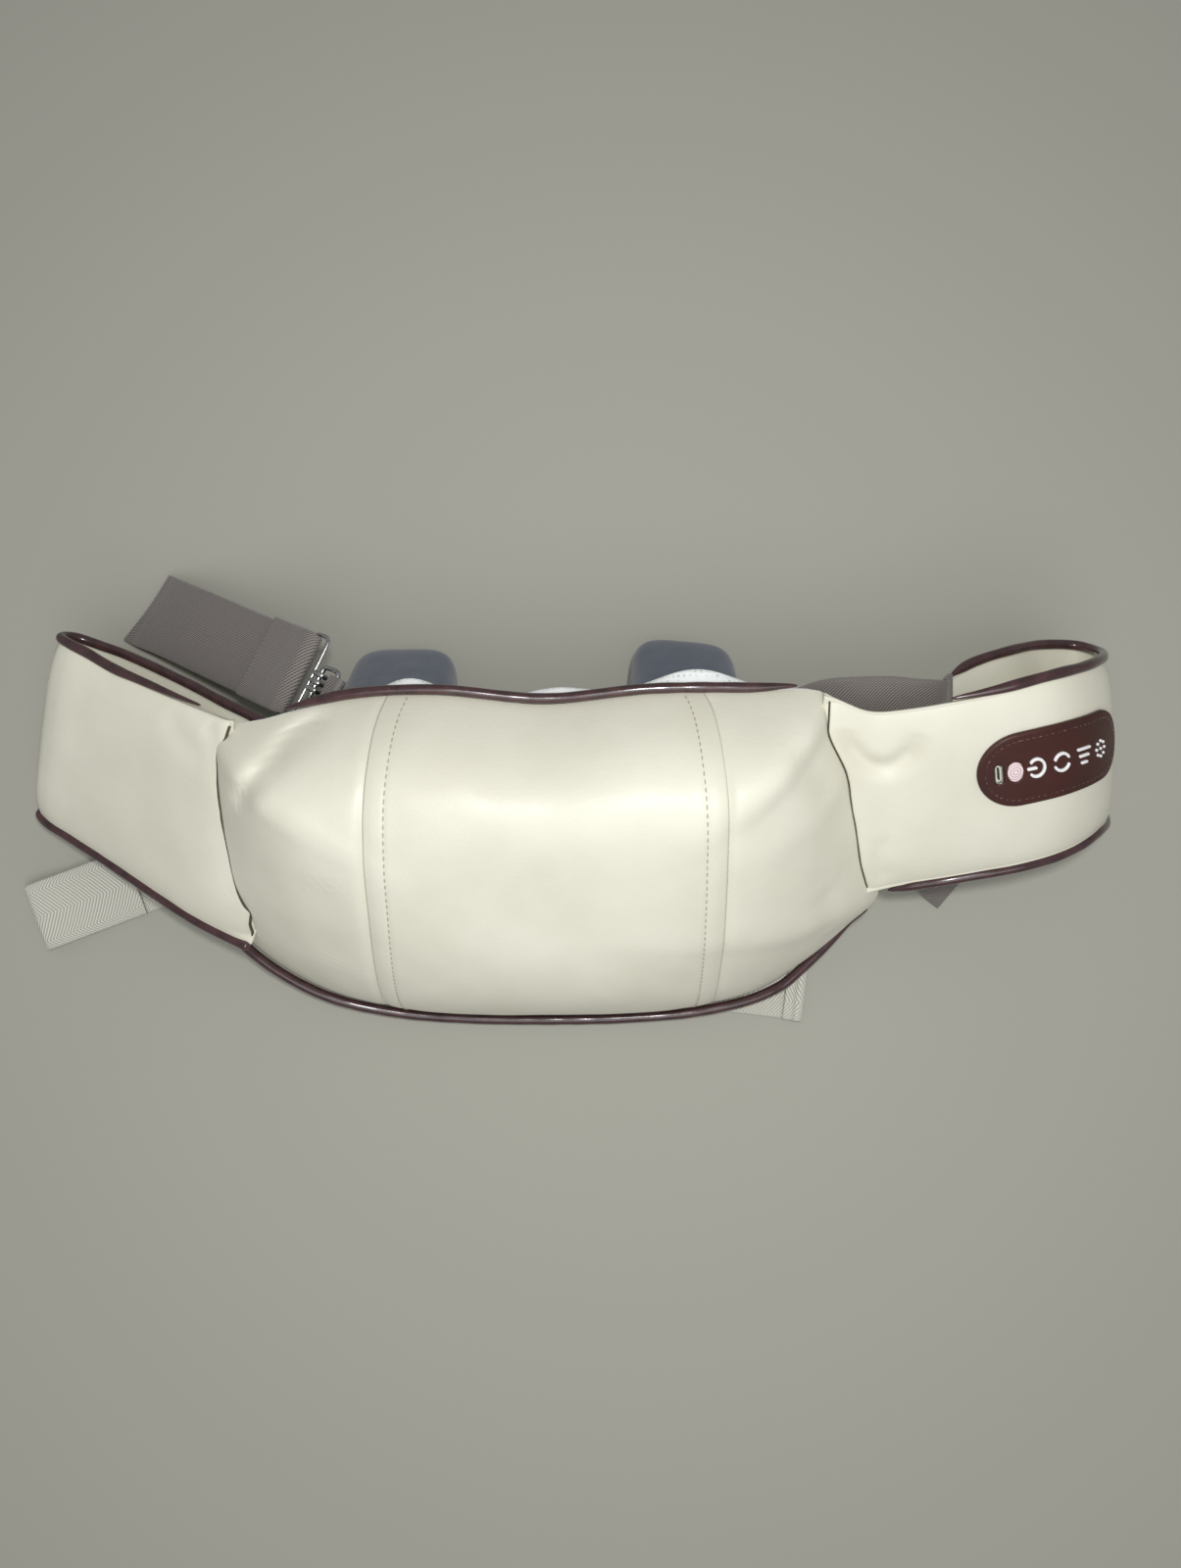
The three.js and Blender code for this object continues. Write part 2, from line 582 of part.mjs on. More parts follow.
// Hand loops. Each is a hairpin path in the arm's own frame: along the arm, across it, and its normal.
// Shares of the loop's length, half the arm's width and the loop's depth.
const loops = {
  left: {
    side: -1, length: leftArmLength, depth: leftArmDepth, rise: 18.5 * degrees,
    root: V(-podHalfWidth * 0.98, podAbove * 0.2, domeHeight * 0.13),
    pathShares: [
      [-0.3, 0, 0.16], [0, 0, 0], [0.24, 0, -0.19], [0.52, 0, -0.43], [0.78, 0, -0.64], [0.94, 0, -0.77],
      [1, 0, -0.88], [0.95, 0, -0.99], [0.8, 0, -1], [0.58, 0, -0.88], [0.34, 0, -0.69], [0.12, 0, -0.47],
      [-0.04, 0, -0.33],
    ],
  },
  right: {
    side: 1, length: rightArmLength, depth: rightArmDepth, rise: 13 * degrees,
    root: V(podHalfWidth * 0.99, podAbove * 0.456, domeHeight * 0.15),
    pathShares: [
      [-0.26, -0.02, -0.01], [0, 0, 0], [0.2, 0.01, 0.06], [0.4, 0, 0.08], [0.53, -0.03, 0.07],
      [0.66, -0.09, 0.02], [0.775, -0.17, -0.095], [0.885, -0.28, -0.29], [0.965, -0.4, -0.53], [1, -0.47, -0.79],
      [0.95, -0.46, -0.98], [0.8, -0.36, -0.98], [0.62, -0.22, -0.8], [0.42, -0.08, -0.64], [0.24, 0, -0.4],
    ],
  },
};
const loopStations = 19;
const acrossShares = [-1, -0.82, 0, 0.82, 1];

// The arm's local point (along, across, normal) in the pod's frame.
function armPoint(loop, along, across, normal) {
  const { side, rise, root } = loop;
  const x = side * (along * Math.cos(rise) - across * Math.sin(rise));
  const y = along * Math.sin(rise) + across * Math.cos(rise);
  return V(root.x + x, root.y + y, root.z + normal);
}

function armCurve(loop) {
  const points = loop.pathShares.map(([a, b, c]) => V(a * loop.length, (b * armWidth) / 2, c * loop.depth));
  return new THREE.CatmullRomCurve3(points, false, "centripetal");
}

// A station on the path: its point and the normal of the loop's outer side.
function armStation(curve, share) {
  const point = curve.getPointAt(share);
  const tangent = curve.getTangentAt(share);
  return { point, normal: V(-tangent.z, 0, tangent.x).normalize() };
}

function armSurfacePoint(loop, station, across, offset) {
  const { point, normal } = station;
  return armPoint(loop, point.x + normal.x * offset, point.y + across, point.z + normal.z * offset);
}

const halfThickness = (share) => (armEdgeThickness + (armThickness - armEdgeThickness) * (1 - share ** 4)) / 2;

// A layer of the arm between two offsets that follow its swelling section.
function armLayer(loop, outerInset, innerOffset, side) {
  const curve = armCurve(loop);
  const grid = (offsetOf) => {
    const rows = [];
    for (let i = 0; i <= loopStations; i++) {
      const station = armStation(curve, i / loopStations);
      rows.push(acrossShares.map((s) => armSurfacePoint(loop, station, (s * armWidth) / 2, offsetOf(s))));
    }
    return rows;
  };
  const outer = grid((s) => side * (halfThickness(s) - outerInset));
  return slabBody(outer, grid((s) => innerOffset(s)));
}

function armPiping(loop, edge) {
  const curve = armCurve(loop);
  const points = [];
  const across = edge * (armWidth / 2 + pipingRadius + 1.5 * gap);
  for (let i = 0; i <= loopStations; i++) {
    points.push(armSurfacePoint(loop, armStation(curve, i / loopStations), across, 0));
  }
  return sweep(new THREE.CatmullRomCurve3(points), pipingRadius, armPipingSteps, pipingSides);
}

// What the arms must clear: the pod and its piping, at rest and as each arm swings about its root.
const podEnvelope = [
  domeBody(leatherInset - gap, domeHeight + gap, -weldDistance, crownPower),
  domeBody(leatherInset - gap, -backDepth - gap, weldDistance, evenPower),
  sweep(topPipingCurve, pipingRadius + gap, podPipingSteps, pipingSides),
  sweep(bottomPipingCurve, pipingRadius + gap, podPipingSteps, pipingSides),
].map(toSolid).reduce((all, one) => all.add(one));
const hingeHeight = 2.5;
const hingeOutset = 1;

function swungEnvelope(side) {
  const hinge = V(side * (podHalfWidth + hingeOutset), 0, hingeHeight);
  return swingRelief
    .map((angle) => {
      const turn = new THREE.Matrix4().makeTranslation(hinge)
        .multiply(new THREE.Matrix4().makeRotationY(-side * angle))
        .multiply(new THREE.Matrix4().makeTranslation(hinge.clone().negate()));
      return podEnvelope.transform(turn.toArray());
    })
    .reduce((all, one) => all.add(one));
}

// Controls on the right arm, set out along its front from the root
const patchStartShare = 0.243;
const patchEndShare = 0.532;
const patchAcross = 8;
const windowMargin = 5;
const boardInset = 0.4;
const pocketFloor = 0.3;
const boardBase = 0.55;
const keyBaseRadius = 5.2;
const keyBaseBottom = 2.3;
const keyBaseThickness = 0.8;
const patchBase = armThickness / 2 + gap;
const patchTop = patchBase + patchThickness;
const rightCurve = armCurve(loops.right);
const rightCurveLength = rightCurve.getLength();

// A strip along the right arm with round ends, between two offsets from the arm's middle surface.
function armStrip(inset, low, high) {
  const [start, end] = [patchStartShare * rightCurveLength + inset, patchEndShare * rightCurveLength - inset];
  const half = patchWidth / 2 - inset;
  const endShares = [0.02, 0.1, 0.3, 0.6, 1];
  const places = endShares.map((share) => start + share * half);
  const middleSteps = 8;
  for (let i = 1; i < middleSteps; i++) places.push(start + half + ((end - start - 2 * half) * i) / middleSteps);
  endShares.slice().reverse().forEach((share) => places.push(end - share * half));
  const rows = (offset) =>
    places.map((place) => {
      const intoEnd = Math.max(half - (place - start), half - (end - place), 0);
      const reach = Math.sqrt(half ** 2 - intoEnd ** 2);
      const station = armStation(rightCurve, place / rightCurveLength);
      return [-1, -1 / 2, 0, 1 / 2, 1].map((s) => armSurfacePoint(loops.right, station, patchAcross + s * reach, offset));
    });
  return slabBody(rows(high), rows(low));
}

// A frame on the right arm: local x runs towards the pod, y across the arm and z out of its face.
function controlFrame(name, parent, share) {
  const station = armStation(rightCurve, share);
  const origin = armSurfacePoint(loops.right, station, patchAcross, 0);
  const out = armSurfacePoint(loops.right, station, patchAcross, gap).sub(origin).normalize();
  const across = armSurfacePoint(loops.right, station, patchAcross + gap, 0).sub(origin).normalize();
  const group = groupIn(parent, name, origin.x, origin.y, origin.z);
  const basis = new THREE.Matrix4().makeBasis(across.clone().cross(out), across, out);
  group.quaternion.setFromRotationMatrix(basis);
  group.updateMatrix();
  return group;
}

// Key symbols as flat shapes: each is a list of closed outlines, grown by an allowance
function arcShape(inner, outer, from, to, steps = 6) {
  const shape = new THREE.Shape();
  shape.absarc(0, 0, outer, from, to, false);
  shape.absarc(0, 0, inner, to, from, true);
  return [shape, steps];
}

function barShape(x0, x1, y0, y1) {
  const corners = [[x0, y0], [x1, y0], [x1, y1], [x0, y1]].map(([x, y]) => new THREE.Vector2(x, y));
  return [new THREE.Shape(corners), 1];
}

function dotShape(x, y, radius) {
  const shape = new THREE.Shape();
  shape.absarc(x, y, radius, 0, 2 * Math.PI, false);
  return [shape, 3];
}

const strokeWidth = 1.3;
const dotRadius = 0.75;
const ringDots = 8;
const symbols = {
  power: (grow) => {
    const turnGrow = grow / iconRadius;
    return [
      arcShape(iconRadius - strokeWidth - grow, iconRadius + grow, 0.8 - turnGrow, 2 * Math.PI - 0.8 + turnGrow),
      barShape(0 - grow, iconRadius + grow, -strokeWidth / 2 - grow, strokeWidth / 2 + grow),
    ];
  },
  mode: (grow) => {
    const turnGrow = grow / iconRadius;
    const arc = (from) =>
      arcShape(iconRadius - strokeWidth - grow, iconRadius + grow, from - turnGrow, from + 2.3 + turnGrow);
    return [arc(0.4), arc(Math.PI + 0.4)];
  },
  level: (grow) =>
    [[-0.72, 0.5], [0, 0.75], [0.72, 1]].map(([place, length]) => {
      const [y, half] = [place * iconRadius, length * iconRadius];
      return barShape(-half - grow, half + grow, y - strokeWidth / 2 - grow, y + strokeWidth / 2 + grow);
    }),
  heat: (grow) => {
    const reach = iconRadius - dotRadius;
    const dots = [dotShape(0, 0, dotRadius + grow)];
    for (let i = 0; i < ringDots; i++) {
      const turn = (2 * Math.PI * i) / ringDots;
      dots.push(dotShape(reach * Math.cos(turn), reach * Math.sin(turn), dotRadius + grow));
    }
    return dots;
  },
};

function symbolBody(symbol, grow, low, high) {
  return symbols[symbol](grow)
    .map(([shape, curveSegments]) =>
      toSolid(new THREE.ExtrudeGeometry(shape, { depth: high - low, bevelEnabled: false, curveSegments })
        .translate(0, 0, low)))
    .reduce((all, one) => all.add(one));
}

// The two arms
const armCore = (s) => halfThickness(s) - armLeather - gap;
const arms = {};
for (const [name, loop] of Object.entries(loops)) {
  const arm = new THREE.Group();
  const hinge = V(loop.side * (podHalfWidth + hingeOutset), 0, hingeHeight);
  arm.name = `${name}_arm_axis`;
  arm.position.copy(hinge);
  pod.add(arm);
  const inArm = new THREE.Group();
  inArm.position.copy(hinge).negate();
  arm.add(inArm);
  arms[name] = inArm;
  const swept = swungEnvelope(loop.side);
  const outer = armLayer(loop, 0, (s) => halfThickness(s) - armLeather, 1);
  const lining = armLayer(loop, 0, (s) => armLeather - halfThickness(s), -1);
  const core = armLayer(loop, armLeather + gap, (s) => -armCore(s), 1);
  const pocket = name === "right" ? [toSolid(armStrip(windowMargin, pocketFloor, armThickness))] : [];
  addTo(inArm, `${name}_arm_leather`, cutFrom(outer, swept, ...pocket), creamLeather);
  addTo(inArm, `${name}_arm_padding`, cutFrom(core, swept, ...pocket), whiteFoam);
  addTo(inArm, `${name}_arm_lining`, cutFrom(lining, swept), creamLeather);
  addTo(inArm, `${name}_arm_top_piping`, cutFrom(armPiping(loop, 1), swept), brownPiping);
  addTo(inArm, `${name}_arm_bottom_piping`, cutFrom(armPiping(loop, -1), swept), brownPiping);
}

// Patch, board, keys, charging socket and indicator on the right arm
const controlShares = { socket: 0.276, lens: 0.301, power: 0.334, mode: 0.375, level: 0.418, heat: 0.462 };
const socketWidth = 9.2;
const socketHeight = 3.5;
const socketWall = 0.4;
const tongueThickness = 0.7;
const lensRadius = 2.9;

function slotShape(width, height) {
  const shape = new THREE.Shape();
  shape.absarc(0, (width - height) / 2, height / 2, 0, Math.PI, false);
  shape.absarc(0, -(width - height) / 2, height / 2, Math.PI, 2 * Math.PI, false);
  return shape;
}

const slotBody = (width, height, low, high) =>
  new THREE.ExtrudeGeometry(slotShape(width, height), { depth: high - low, bevelEnabled: false, curveSegments: 6 })
    .translate(0, 0, low);

let patchSolid = toSolid(armStrip(0, patchBase, patchTop));
const boardTop = boardBase + boardThickness;
for (const [name, share] of Object.entries(controlShares)) {
  const frame = controlFrame(`${name}_axis`, arms.right, share);
  const place = (solid) => solid.transform(frame.matrix.toArray());
  if (name === "socket") {
    const hole = toSolid(slotBody(socketWidth + 2 * gap, socketHeight + 2 * gap, boardTop, patchTop + overrun));
    patchSolid = patchSolid.subtract(place(hole));
    const low = boardTop + gap;
    const shell = toSolid(slotBody(socketWidth, socketHeight, low, patchTop));
    const inner = [socketWidth - 2 * socketWall, socketHeight - 2 * socketWall];
    const cavity = toSolid(slotBody(...inner, low + 2 * socketWall, patchTop + overrun));
    const half = socketWidth / 2 - socketHeight / 2;
    const tongue = box(-tongueThickness / 2, tongueThickness / 2, -half, half, low + socketWall, patchTop - keyTravel);
    addTo(frame, "usb_c_socket", toGeometry(shell.subtract(cavity).add(toSolid(tongue))), steel);
  } else if (name === "lens") {
    const hole = toSolid(post(lensRadius + gap, boardTop, patchTop + overrun, 0, 0, 18));
    patchSolid = patchSolid.subtract(place(hole));
    addTo(frame, "indicator_lens", post(lensRadius, boardTop + gap, patchTop + keyTravel / 2, 0, 0, 18), whitePlastic);
  } else {
    patchSolid = patchSolid.subtract(place(symbolBody(name, gap, keyBaseBottom, patchTop + overrun)));
    const base = toSolid(post(keyBaseRadius, keyBaseBottom, keyBaseBottom + keyBaseThickness, 0, 0, 16));
    const raised = symbolBody(name, 0, keyBaseBottom + keyBaseThickness / 2, patchTop + keyTravel);
    addTo(frame, `${name}_key`, toGeometry(base.add(raised)), whitePlastic);
  }
}
addTo(arms.right, "control_patch", toGeometry(patchSolid), brownLeather);
addTo(arms.right, "switch_board", armStrip(windowMargin + gap + boardInset, boardBase, boardTop), boardGreen);

// Straps. A flat band follows a path, with a width direction and a width at each of its points.
const podToBelt = (u, v, w) => V(u, v, w).applyMatrix4(pod.matrixWorld);

function strapBody(stations, width, thickness, steps) {
  const path = new THREE.CatmullRomCurve3(stations.map(([place]) => place), false, "centripetal");
  const directions = new THREE.CatmullRomCurve3(stations.map(([, across]) => across), false, "catmullrom", 0);
  const [top, bottom] = [[], []];
  for (let i = 0; i <= steps; i++) {
    const share = i / steps;
    const centre = path.getPoint(share);
    const tangent = path.getTangent(share);
    const across = directions.getPoint(share);
    const reach = across.length();
    across.addScaledVector(tangent, -across.dot(tangent)).setLength(reach);
    const normal = tangent.clone().cross(across).setLength(thickness / 2);
    const row = [-1, 0, 1].map((s) => centre.clone().addScaledVector(across, (s * width) / 2));
    top.push(row.map((p) => p.clone().add(normal)));
    bottom.push(row.map((p) => p.clone().sub(normal)));
  }
  return slabBody(top, bottom);
}

// Hook, ring and tab: local x runs from the pod out along the strap, y across it, z up from the strap.
const ringHalfLength = 9;
const ringHalfWidth = 6;
const ringBar = 2.5;
const ringThickness = 2;
const hookThickness = 1.6;
const hookWidth = 10;
const hookPlateLength = 12;
const hookBar = 3;
const tabWidth = 11;
const tabThickness = 1.2;

function rectangle(x0, x1, y0, y1) {
  const corners = [[x0, y0], [x1, y0], [x1, y1], [x0, y1]];
  return corners.map(([x, y]) => new THREE.Vector2(x, y));
}

function ringPlate() {
  const shape = new THREE.Shape(rectangle(-ringHalfWidth, ringHalfWidth, -ringHalfLength, ringHalfLength));
  const [x, y] = [ringHalfWidth - ringBar, ringHalfLength - ringBar];
  shape.holes.push(new THREE.Path(rectangle(-x, x, -y, y)));
  return new THREE.ExtrudeGeometry(shape, { depth: ringThickness, bevelEnabled: false })
    .translate(0, 0, -ringThickness / 2);
}

// The hook's tongue goes over the ring's bar, down through the ring and back under the bar.
const hookGap = 0.4;
const hookLow = ringThickness / 2 + hookGap;
const hookHigh = hookLow + hookThickness;
const hookFront = ringHalfWidth - ringBar - hookGap - hookThickness;
const hookPlateStart = ringHalfWidth + hookGap;
const hookPlateEnd = hookPlateStart + hookPlateLength;

function hookBody() {
  const side = new THREE.Shape([
    [hookFront, -hookHigh], [ringHalfWidth, -hookHigh], [ringHalfWidth, -hookLow],
    [hookFront + hookThickness, -hookLow], [hookFront + hookThickness, hookLow],
    [hookPlateStart + hookThickness, hookLow], [hookPlateStart + hookThickness, hookHigh], [hookFront, hookHigh],
  ].map(([x, z]) => new THREE.Vector2(x, z)));
  const tongue = new THREE.ExtrudeGeometry(side, { depth: hookWidth, bevelEnabled: false })
    .rotateX(Math.PI / 2)
    .translate(0, hookWidth / 2, 0);
  const half = elasticWidth / 2 + hookBar + gap;
  const plate = new THREE.Shape(rectangle(hookPlateStart, hookPlateEnd, -half, half));
  const slotHalf = elasticWidth / 2 + 2 * gap;
  plate.holes.push(new THREE.Path(rectangle(hookPlateStart + hookBar, hookPlateEnd - hookBar, -slotHalf, slotHalf)));
  const flat = new THREE.ExtrudeGeometry(plate, { depth: hookThickness, bevelEnabled: false }).translate(0, 0, hookLow);
  return joined(tongue, flat);
}

const leftElasticSteps = 30;
const shortStrapSteps = 16;
const webbingSteps = 32;

// Places along the straps are shares of the pod's half width, in the belt's own frame.
const placeAt = (shares) => V(...shares).multiplyScalar(podHalfWidth);
const routeOf = (table) => table.map(([place, across]) => [placeAt(place), V(...across)]);

// The left fastener's frame: its ring hangs behind the pod's upper edge and its x runs out along the strap.
const ringPlaceShares = [-0.642, 0.543, 0.477];
const foldShares = [-1.305, 0.828, 0.033];
const hookAcross = V(0.55, 0.835, 0);
const ringPlace = placeAt(ringPlaceShares);
const strapAlong = placeAt(foldShares).sub(ringPlace).normalize();
const barAlong = hookAcross.clone().addScaledVector(strapAlong, -hookAcross.dot(strapAlong)).normalize();
const strapUp = strapAlong.clone().cross(barAlong);
const turnUp = Math.sign(strapUp.z);
const leftFastener = groupIn(belt, "left_fastener", ringPlace.x, ringPlace.y, ringPlace.z);
leftFastener.quaternion.setFromRotationMatrix(
  new THREE.Matrix4().makeBasis(strapAlong, barAlong.multiplyScalar(turnUp), strapUp.multiplyScalar(turnUp)),
);
leftFastener.updateMatrixWorld(true);
const fastenerPoint = (x, z) => V(x, 0, z).applyMatrix4(leftFastener.matrixWorld);
addTo(leftFastener, "strap_ring", ringPlate(), steel);
addTo(leftFastener, "strap_hook", hookBody(), steel);

// The tab is a short band folded round the ring's inner bar, its two ends sewn at the pod's back edge.
const tabEndShares = [-0.5823, 0.5078, 0.542];
const tabOffset = ringThickness / 2 + 2 * gap + tabThickness / 2;
const barEdge = ringBar - ringHalfWidth;
const foldEdge = barEdge + tabThickness / 2 + 3 * gap;
const tabEnd = placeAt(tabEndShares);
const tabSpread = fastenerPoint(0, tabOffset).sub(ringPlace);
const tabStations = [
  tabEnd.clone().add(tabSpread),
  fastenerPoint(-ringHalfWidth - tabOffset, tabOffset),
  fastenerPoint(barEdge, tabOffset),
  fastenerPoint(foldEdge, 0),
  fastenerPoint(barEdge, -tabOffset),
  fastenerPoint(-ringHalfWidth - tabOffset, -tabOffset),
  tabEnd.clone().sub(tabSpread),
].map((place) => [place, barAlong]);
addTo(belt, "ring_tab", strapBody(tabStations, tabWidth, tabThickness, shortStrapSteps), greyElastic);

// Left elastic: its end lies under the strap; from a fold it rises to the hook and comes back over itself
const hookSeat = hookPlateEnd - hookBar / 2;
const hookMiddle = (hookLow + hookHigh) / 2;
const loopHeight = hookThickness / 2 + elasticThickness / 2 + 4 * gap;
const loopDepth = hookBar / 2 + elasticThickness / 2 + 3.5 * gap;
const doubledLength = 42;
const doubledHeight = elasticThickness + gap - loopHeight;
const leftLowerShares = [
  [[-0.98, 0.683, 0.008], [0.5, 0.87, 0]],
  [[-1.13, 0.747, 0.008], [0.5, 0.87, 0]],
  [[-1.291, 0.815, 0.012], [0.6, 0.83, 0]],
  [[-1.315, 0.831, 0.034], [0.6, 0.83, 0]],
  [[-1.291, 0.821, 0.057], [0.6, 0.83, 0]],
];
const leftUpperStations = [
  [hookSeat + 2 * doubledLength, 0], [hookSeat + doubledLength + 4 * gap, -loopHeight],
  [hookSeat + doubledLength / 2, -loopHeight], [hookSeat, -loopHeight], [hookSeat - loopDepth, 0],
  [hookSeat, loopHeight], [hookSeat + doubledLength / 2, doubledHeight + gap],
  [hookSeat + doubledLength, doubledHeight],
].map(([x, z]) => [fastenerPoint(x, hookMiddle + z), barAlong]);
const leftElastic = [...routeOf(leftLowerShares), ...leftUpperStations];
addTo(belt, "left_elastic_strap", strapBody(leftElastic, elasticWidth, elasticThickness, leftElasticSteps), greyElastic);

// Right elastic: from the pod's upper back corner on to the lining at the loop's back end; its free tail
// hangs from the loop's back to the floor
const rightStrapShares = [
  [[0.742, 0.4185, 0.4805], [-0.5, 0.75, 0.433]],
  [[0.825, 0.447, 0.5], [-0.25, 0.83, 0.48]],
  [[0.98, 0.45, 0.517], [0, 0.87, 0.5]],
  [[1.075, 0.442, 0.523], [-0.1, 0.86, 0.5]],
  [[1.143, 0.439, 0.505], [-0.226, 0.842, 0.487]],
  [[1.182, 0.459, 0.472], [-0.226, 0.842, 0.487]],
];
addTo(
  belt, "right_elastic_strap",
  strapBody(routeOf(rightStrapShares), elasticWidth, elasticThickness, shortStrapSteps), greyElastic,
);
const tailShares = [
  [[1.1875, 0.3385, 0.3393], [0.8, 0.31, -0.51]],
  [[1.21, 0.22, 0.265], [0.8, 0.31, -0.51]],
  [[1.235, 0.062, 0.185], [0.8, 0.31, -0.51]],
  [[1.29, -0.005, 0.06], [0.77, 0.6, -0.2]],
  [[1.355, -0.053, 0.0215], [0.77, 0.65, 0]],
];
const tailStations = routeOf(tailShares);
addTo(belt, "right_strap_tail", strapBody(tailStations, elasticWidth, elasticThickness, shortStrapSteps), greyElastic);

// Cream webbing: a hemmed end that is sewn under the left arm, and a hemmed end under the pod
const webbingHeight = webbingThickness / 2 + floorGap;
const webbingRise = webbingThickness + gap;
const hemTurn = webbingThickness + 2 * gap;
function hemmedWebbing(tip, along, across, hem, flat, lift) {
  const at = (back, height) => tip.clone().addScaledVector(along, back).add(V(0, 0, webbingHeight + height));
  return [
    at(flat, lift), at((flat + hem) / 2, 0), at(hem, 0), at(hem / 2, 0), at(hemTurn, 0), at(0, webbingRise),
    at(hemTurn, 2 * webbingRise), at(hem / 2, webbingRise + gap), at(hem, webbingRise + gap),
  ].map((place) => [place, across]);
}
const webbingTipShares = [-1.689, -0.185, 0];
const webbingAlong = V(0.935, 0.355, 0);
const webbingAcross = V(-0.355, 0.935, 0);
const leftHem = 52;
const leftFlat = 78;
const risingShares = [
  [[-1.0767, 0.0516, 0.1977], [0.318, 0.822, 0.474]],
  [[-1.056, 0.066, 0.158], [0.318, 0.822, 0.474]],
  [[-1.063, 0.056, 0.086], [0, 0.93, 0.25]],
  [[-1.113, 0.033, 0.03], [-0.25, 0.95, 0.05]],
];
const leftWebbing = hemmedWebbing(placeAt(webbingTipShares), webbingAlong, webbingAcross, leftHem, leftFlat, 2 * gap);
addTo(
  belt, "left_webbing_loop",
  strapBody([...routeOf(risingShares), ...leftWebbing], webbingWidth, webbingThickness, webbingSteps), creamWebbing,
);
const tabTipShares = [0.834, -0.424, 0];
const tabBack = V(-0.975, 0.12, 0);
const tabAcross = V(0.12, 0.975, 0);
const tabHem = 9;
const tabFlat = 60;
const tabLift = 2;
const rightWebbing = hemmedWebbing(placeAt(tabTipShares), tabBack, tabAcross, tabHem, tabFlat, tabLift);
addTo(
  belt, "right_webbing_tab",
  strapBody(rightWebbing, webbingWidth - 2 * webbingThickness, webbingThickness, shortStrapSteps), creamWebbing,
);

// The origin is under the middle of the whole belt, on the surface that it lies on.
const bounds = new THREE.Box3().setFromObject(belt, true);
const middle = bounds.getCenter(V(0, 0, 0));
belt.position.set(-middle.x, -middle.y, -bounds.min.z);
const massageBelt = new THREE.Group();
massageBelt.add(belt);

export default massageBelt;
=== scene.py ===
# A heated massage belt, leather side up: a padded pod, two hand loops, the straps and the turning heads.
import math
import random

import bmesh
import bpy
import numpy as np
from mathutils import Matrix, Vector


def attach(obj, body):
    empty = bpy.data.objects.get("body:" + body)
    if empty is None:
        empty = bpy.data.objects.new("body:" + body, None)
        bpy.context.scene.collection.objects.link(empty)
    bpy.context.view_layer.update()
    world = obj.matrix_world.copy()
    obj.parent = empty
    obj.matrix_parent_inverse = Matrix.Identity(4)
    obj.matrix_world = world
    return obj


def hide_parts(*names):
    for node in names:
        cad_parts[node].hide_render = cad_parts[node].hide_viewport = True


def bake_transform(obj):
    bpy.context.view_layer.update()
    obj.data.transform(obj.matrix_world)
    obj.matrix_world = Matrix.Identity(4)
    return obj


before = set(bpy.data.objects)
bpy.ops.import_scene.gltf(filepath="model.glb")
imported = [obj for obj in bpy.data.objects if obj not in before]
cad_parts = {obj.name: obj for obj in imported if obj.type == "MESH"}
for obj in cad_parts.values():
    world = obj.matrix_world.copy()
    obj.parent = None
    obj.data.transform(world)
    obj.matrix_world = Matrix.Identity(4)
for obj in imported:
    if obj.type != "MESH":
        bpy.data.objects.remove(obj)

# The camera looks straight down; its focal length was found in pixels of the photo.
PHOTO_HEIGHT, FOCAL_PIXELS, SENSOR = 1600, 1204, 36
camera = bpy.data.objects.new("camera", bpy.data.cameras.new("camera"))
camera.data.sensor_fit = "VERTICAL"
camera.data.sensor_height = SENSOR
camera.data.lens = SENSOR * FOCAL_PIXELS / PHOTO_HEIGHT
camera.location = (0.01607, 0.00997, 0.59025)
bpy.context.scene.collection.objects.link(camera)
bpy.context.scene.camera = camera

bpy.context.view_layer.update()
random.seed(7)
MM = 0.001

# The pod's own frame: u along the belt, v up the pod and w out of its leather, in millimetres
TILT = math.radians(30)
POD_SHIFT = (-3.93, -28.93, 50.30)
POD_OUT = Vector((0, -math.sin(TILT), math.cos(TILT)))
HALF_WIDTH, ABOVE, BELOW = 151.0, 92.0, 95.0
DOME_HEIGHT, BACK_DEPTH = 54.0, 22.0
LEATHER = 1.4
LEATHER_INSET = 2.6
RIM = 0.3
PIPING_RADIUS = 2.3
SEAM_OFFSET = 75.0
STITCH_OFFSET = 8.8
ROTOR_U, ROTOR_V, OPENING_RADIUS = 68.5, 25.0, 57.0
SIDES = ((-1, "left"), (1, "right"))


def pod_points(u, v, w):
    """Points of the pod's frame, in metres in the belt's frame."""
    u, v, w = np.broadcast_arrays(*[np.asarray(x, float) for x in (u, v, w)])
    y = v * math.cos(TILT) - w * math.sin(TILT)
    z = v * math.sin(TILT) + w * math.cos(TILT)
    return np.stack([u + POD_SHIFT[0], y + POD_SHIFT[1], z + POD_SHIFT[2]], -1) * MM


# Curves

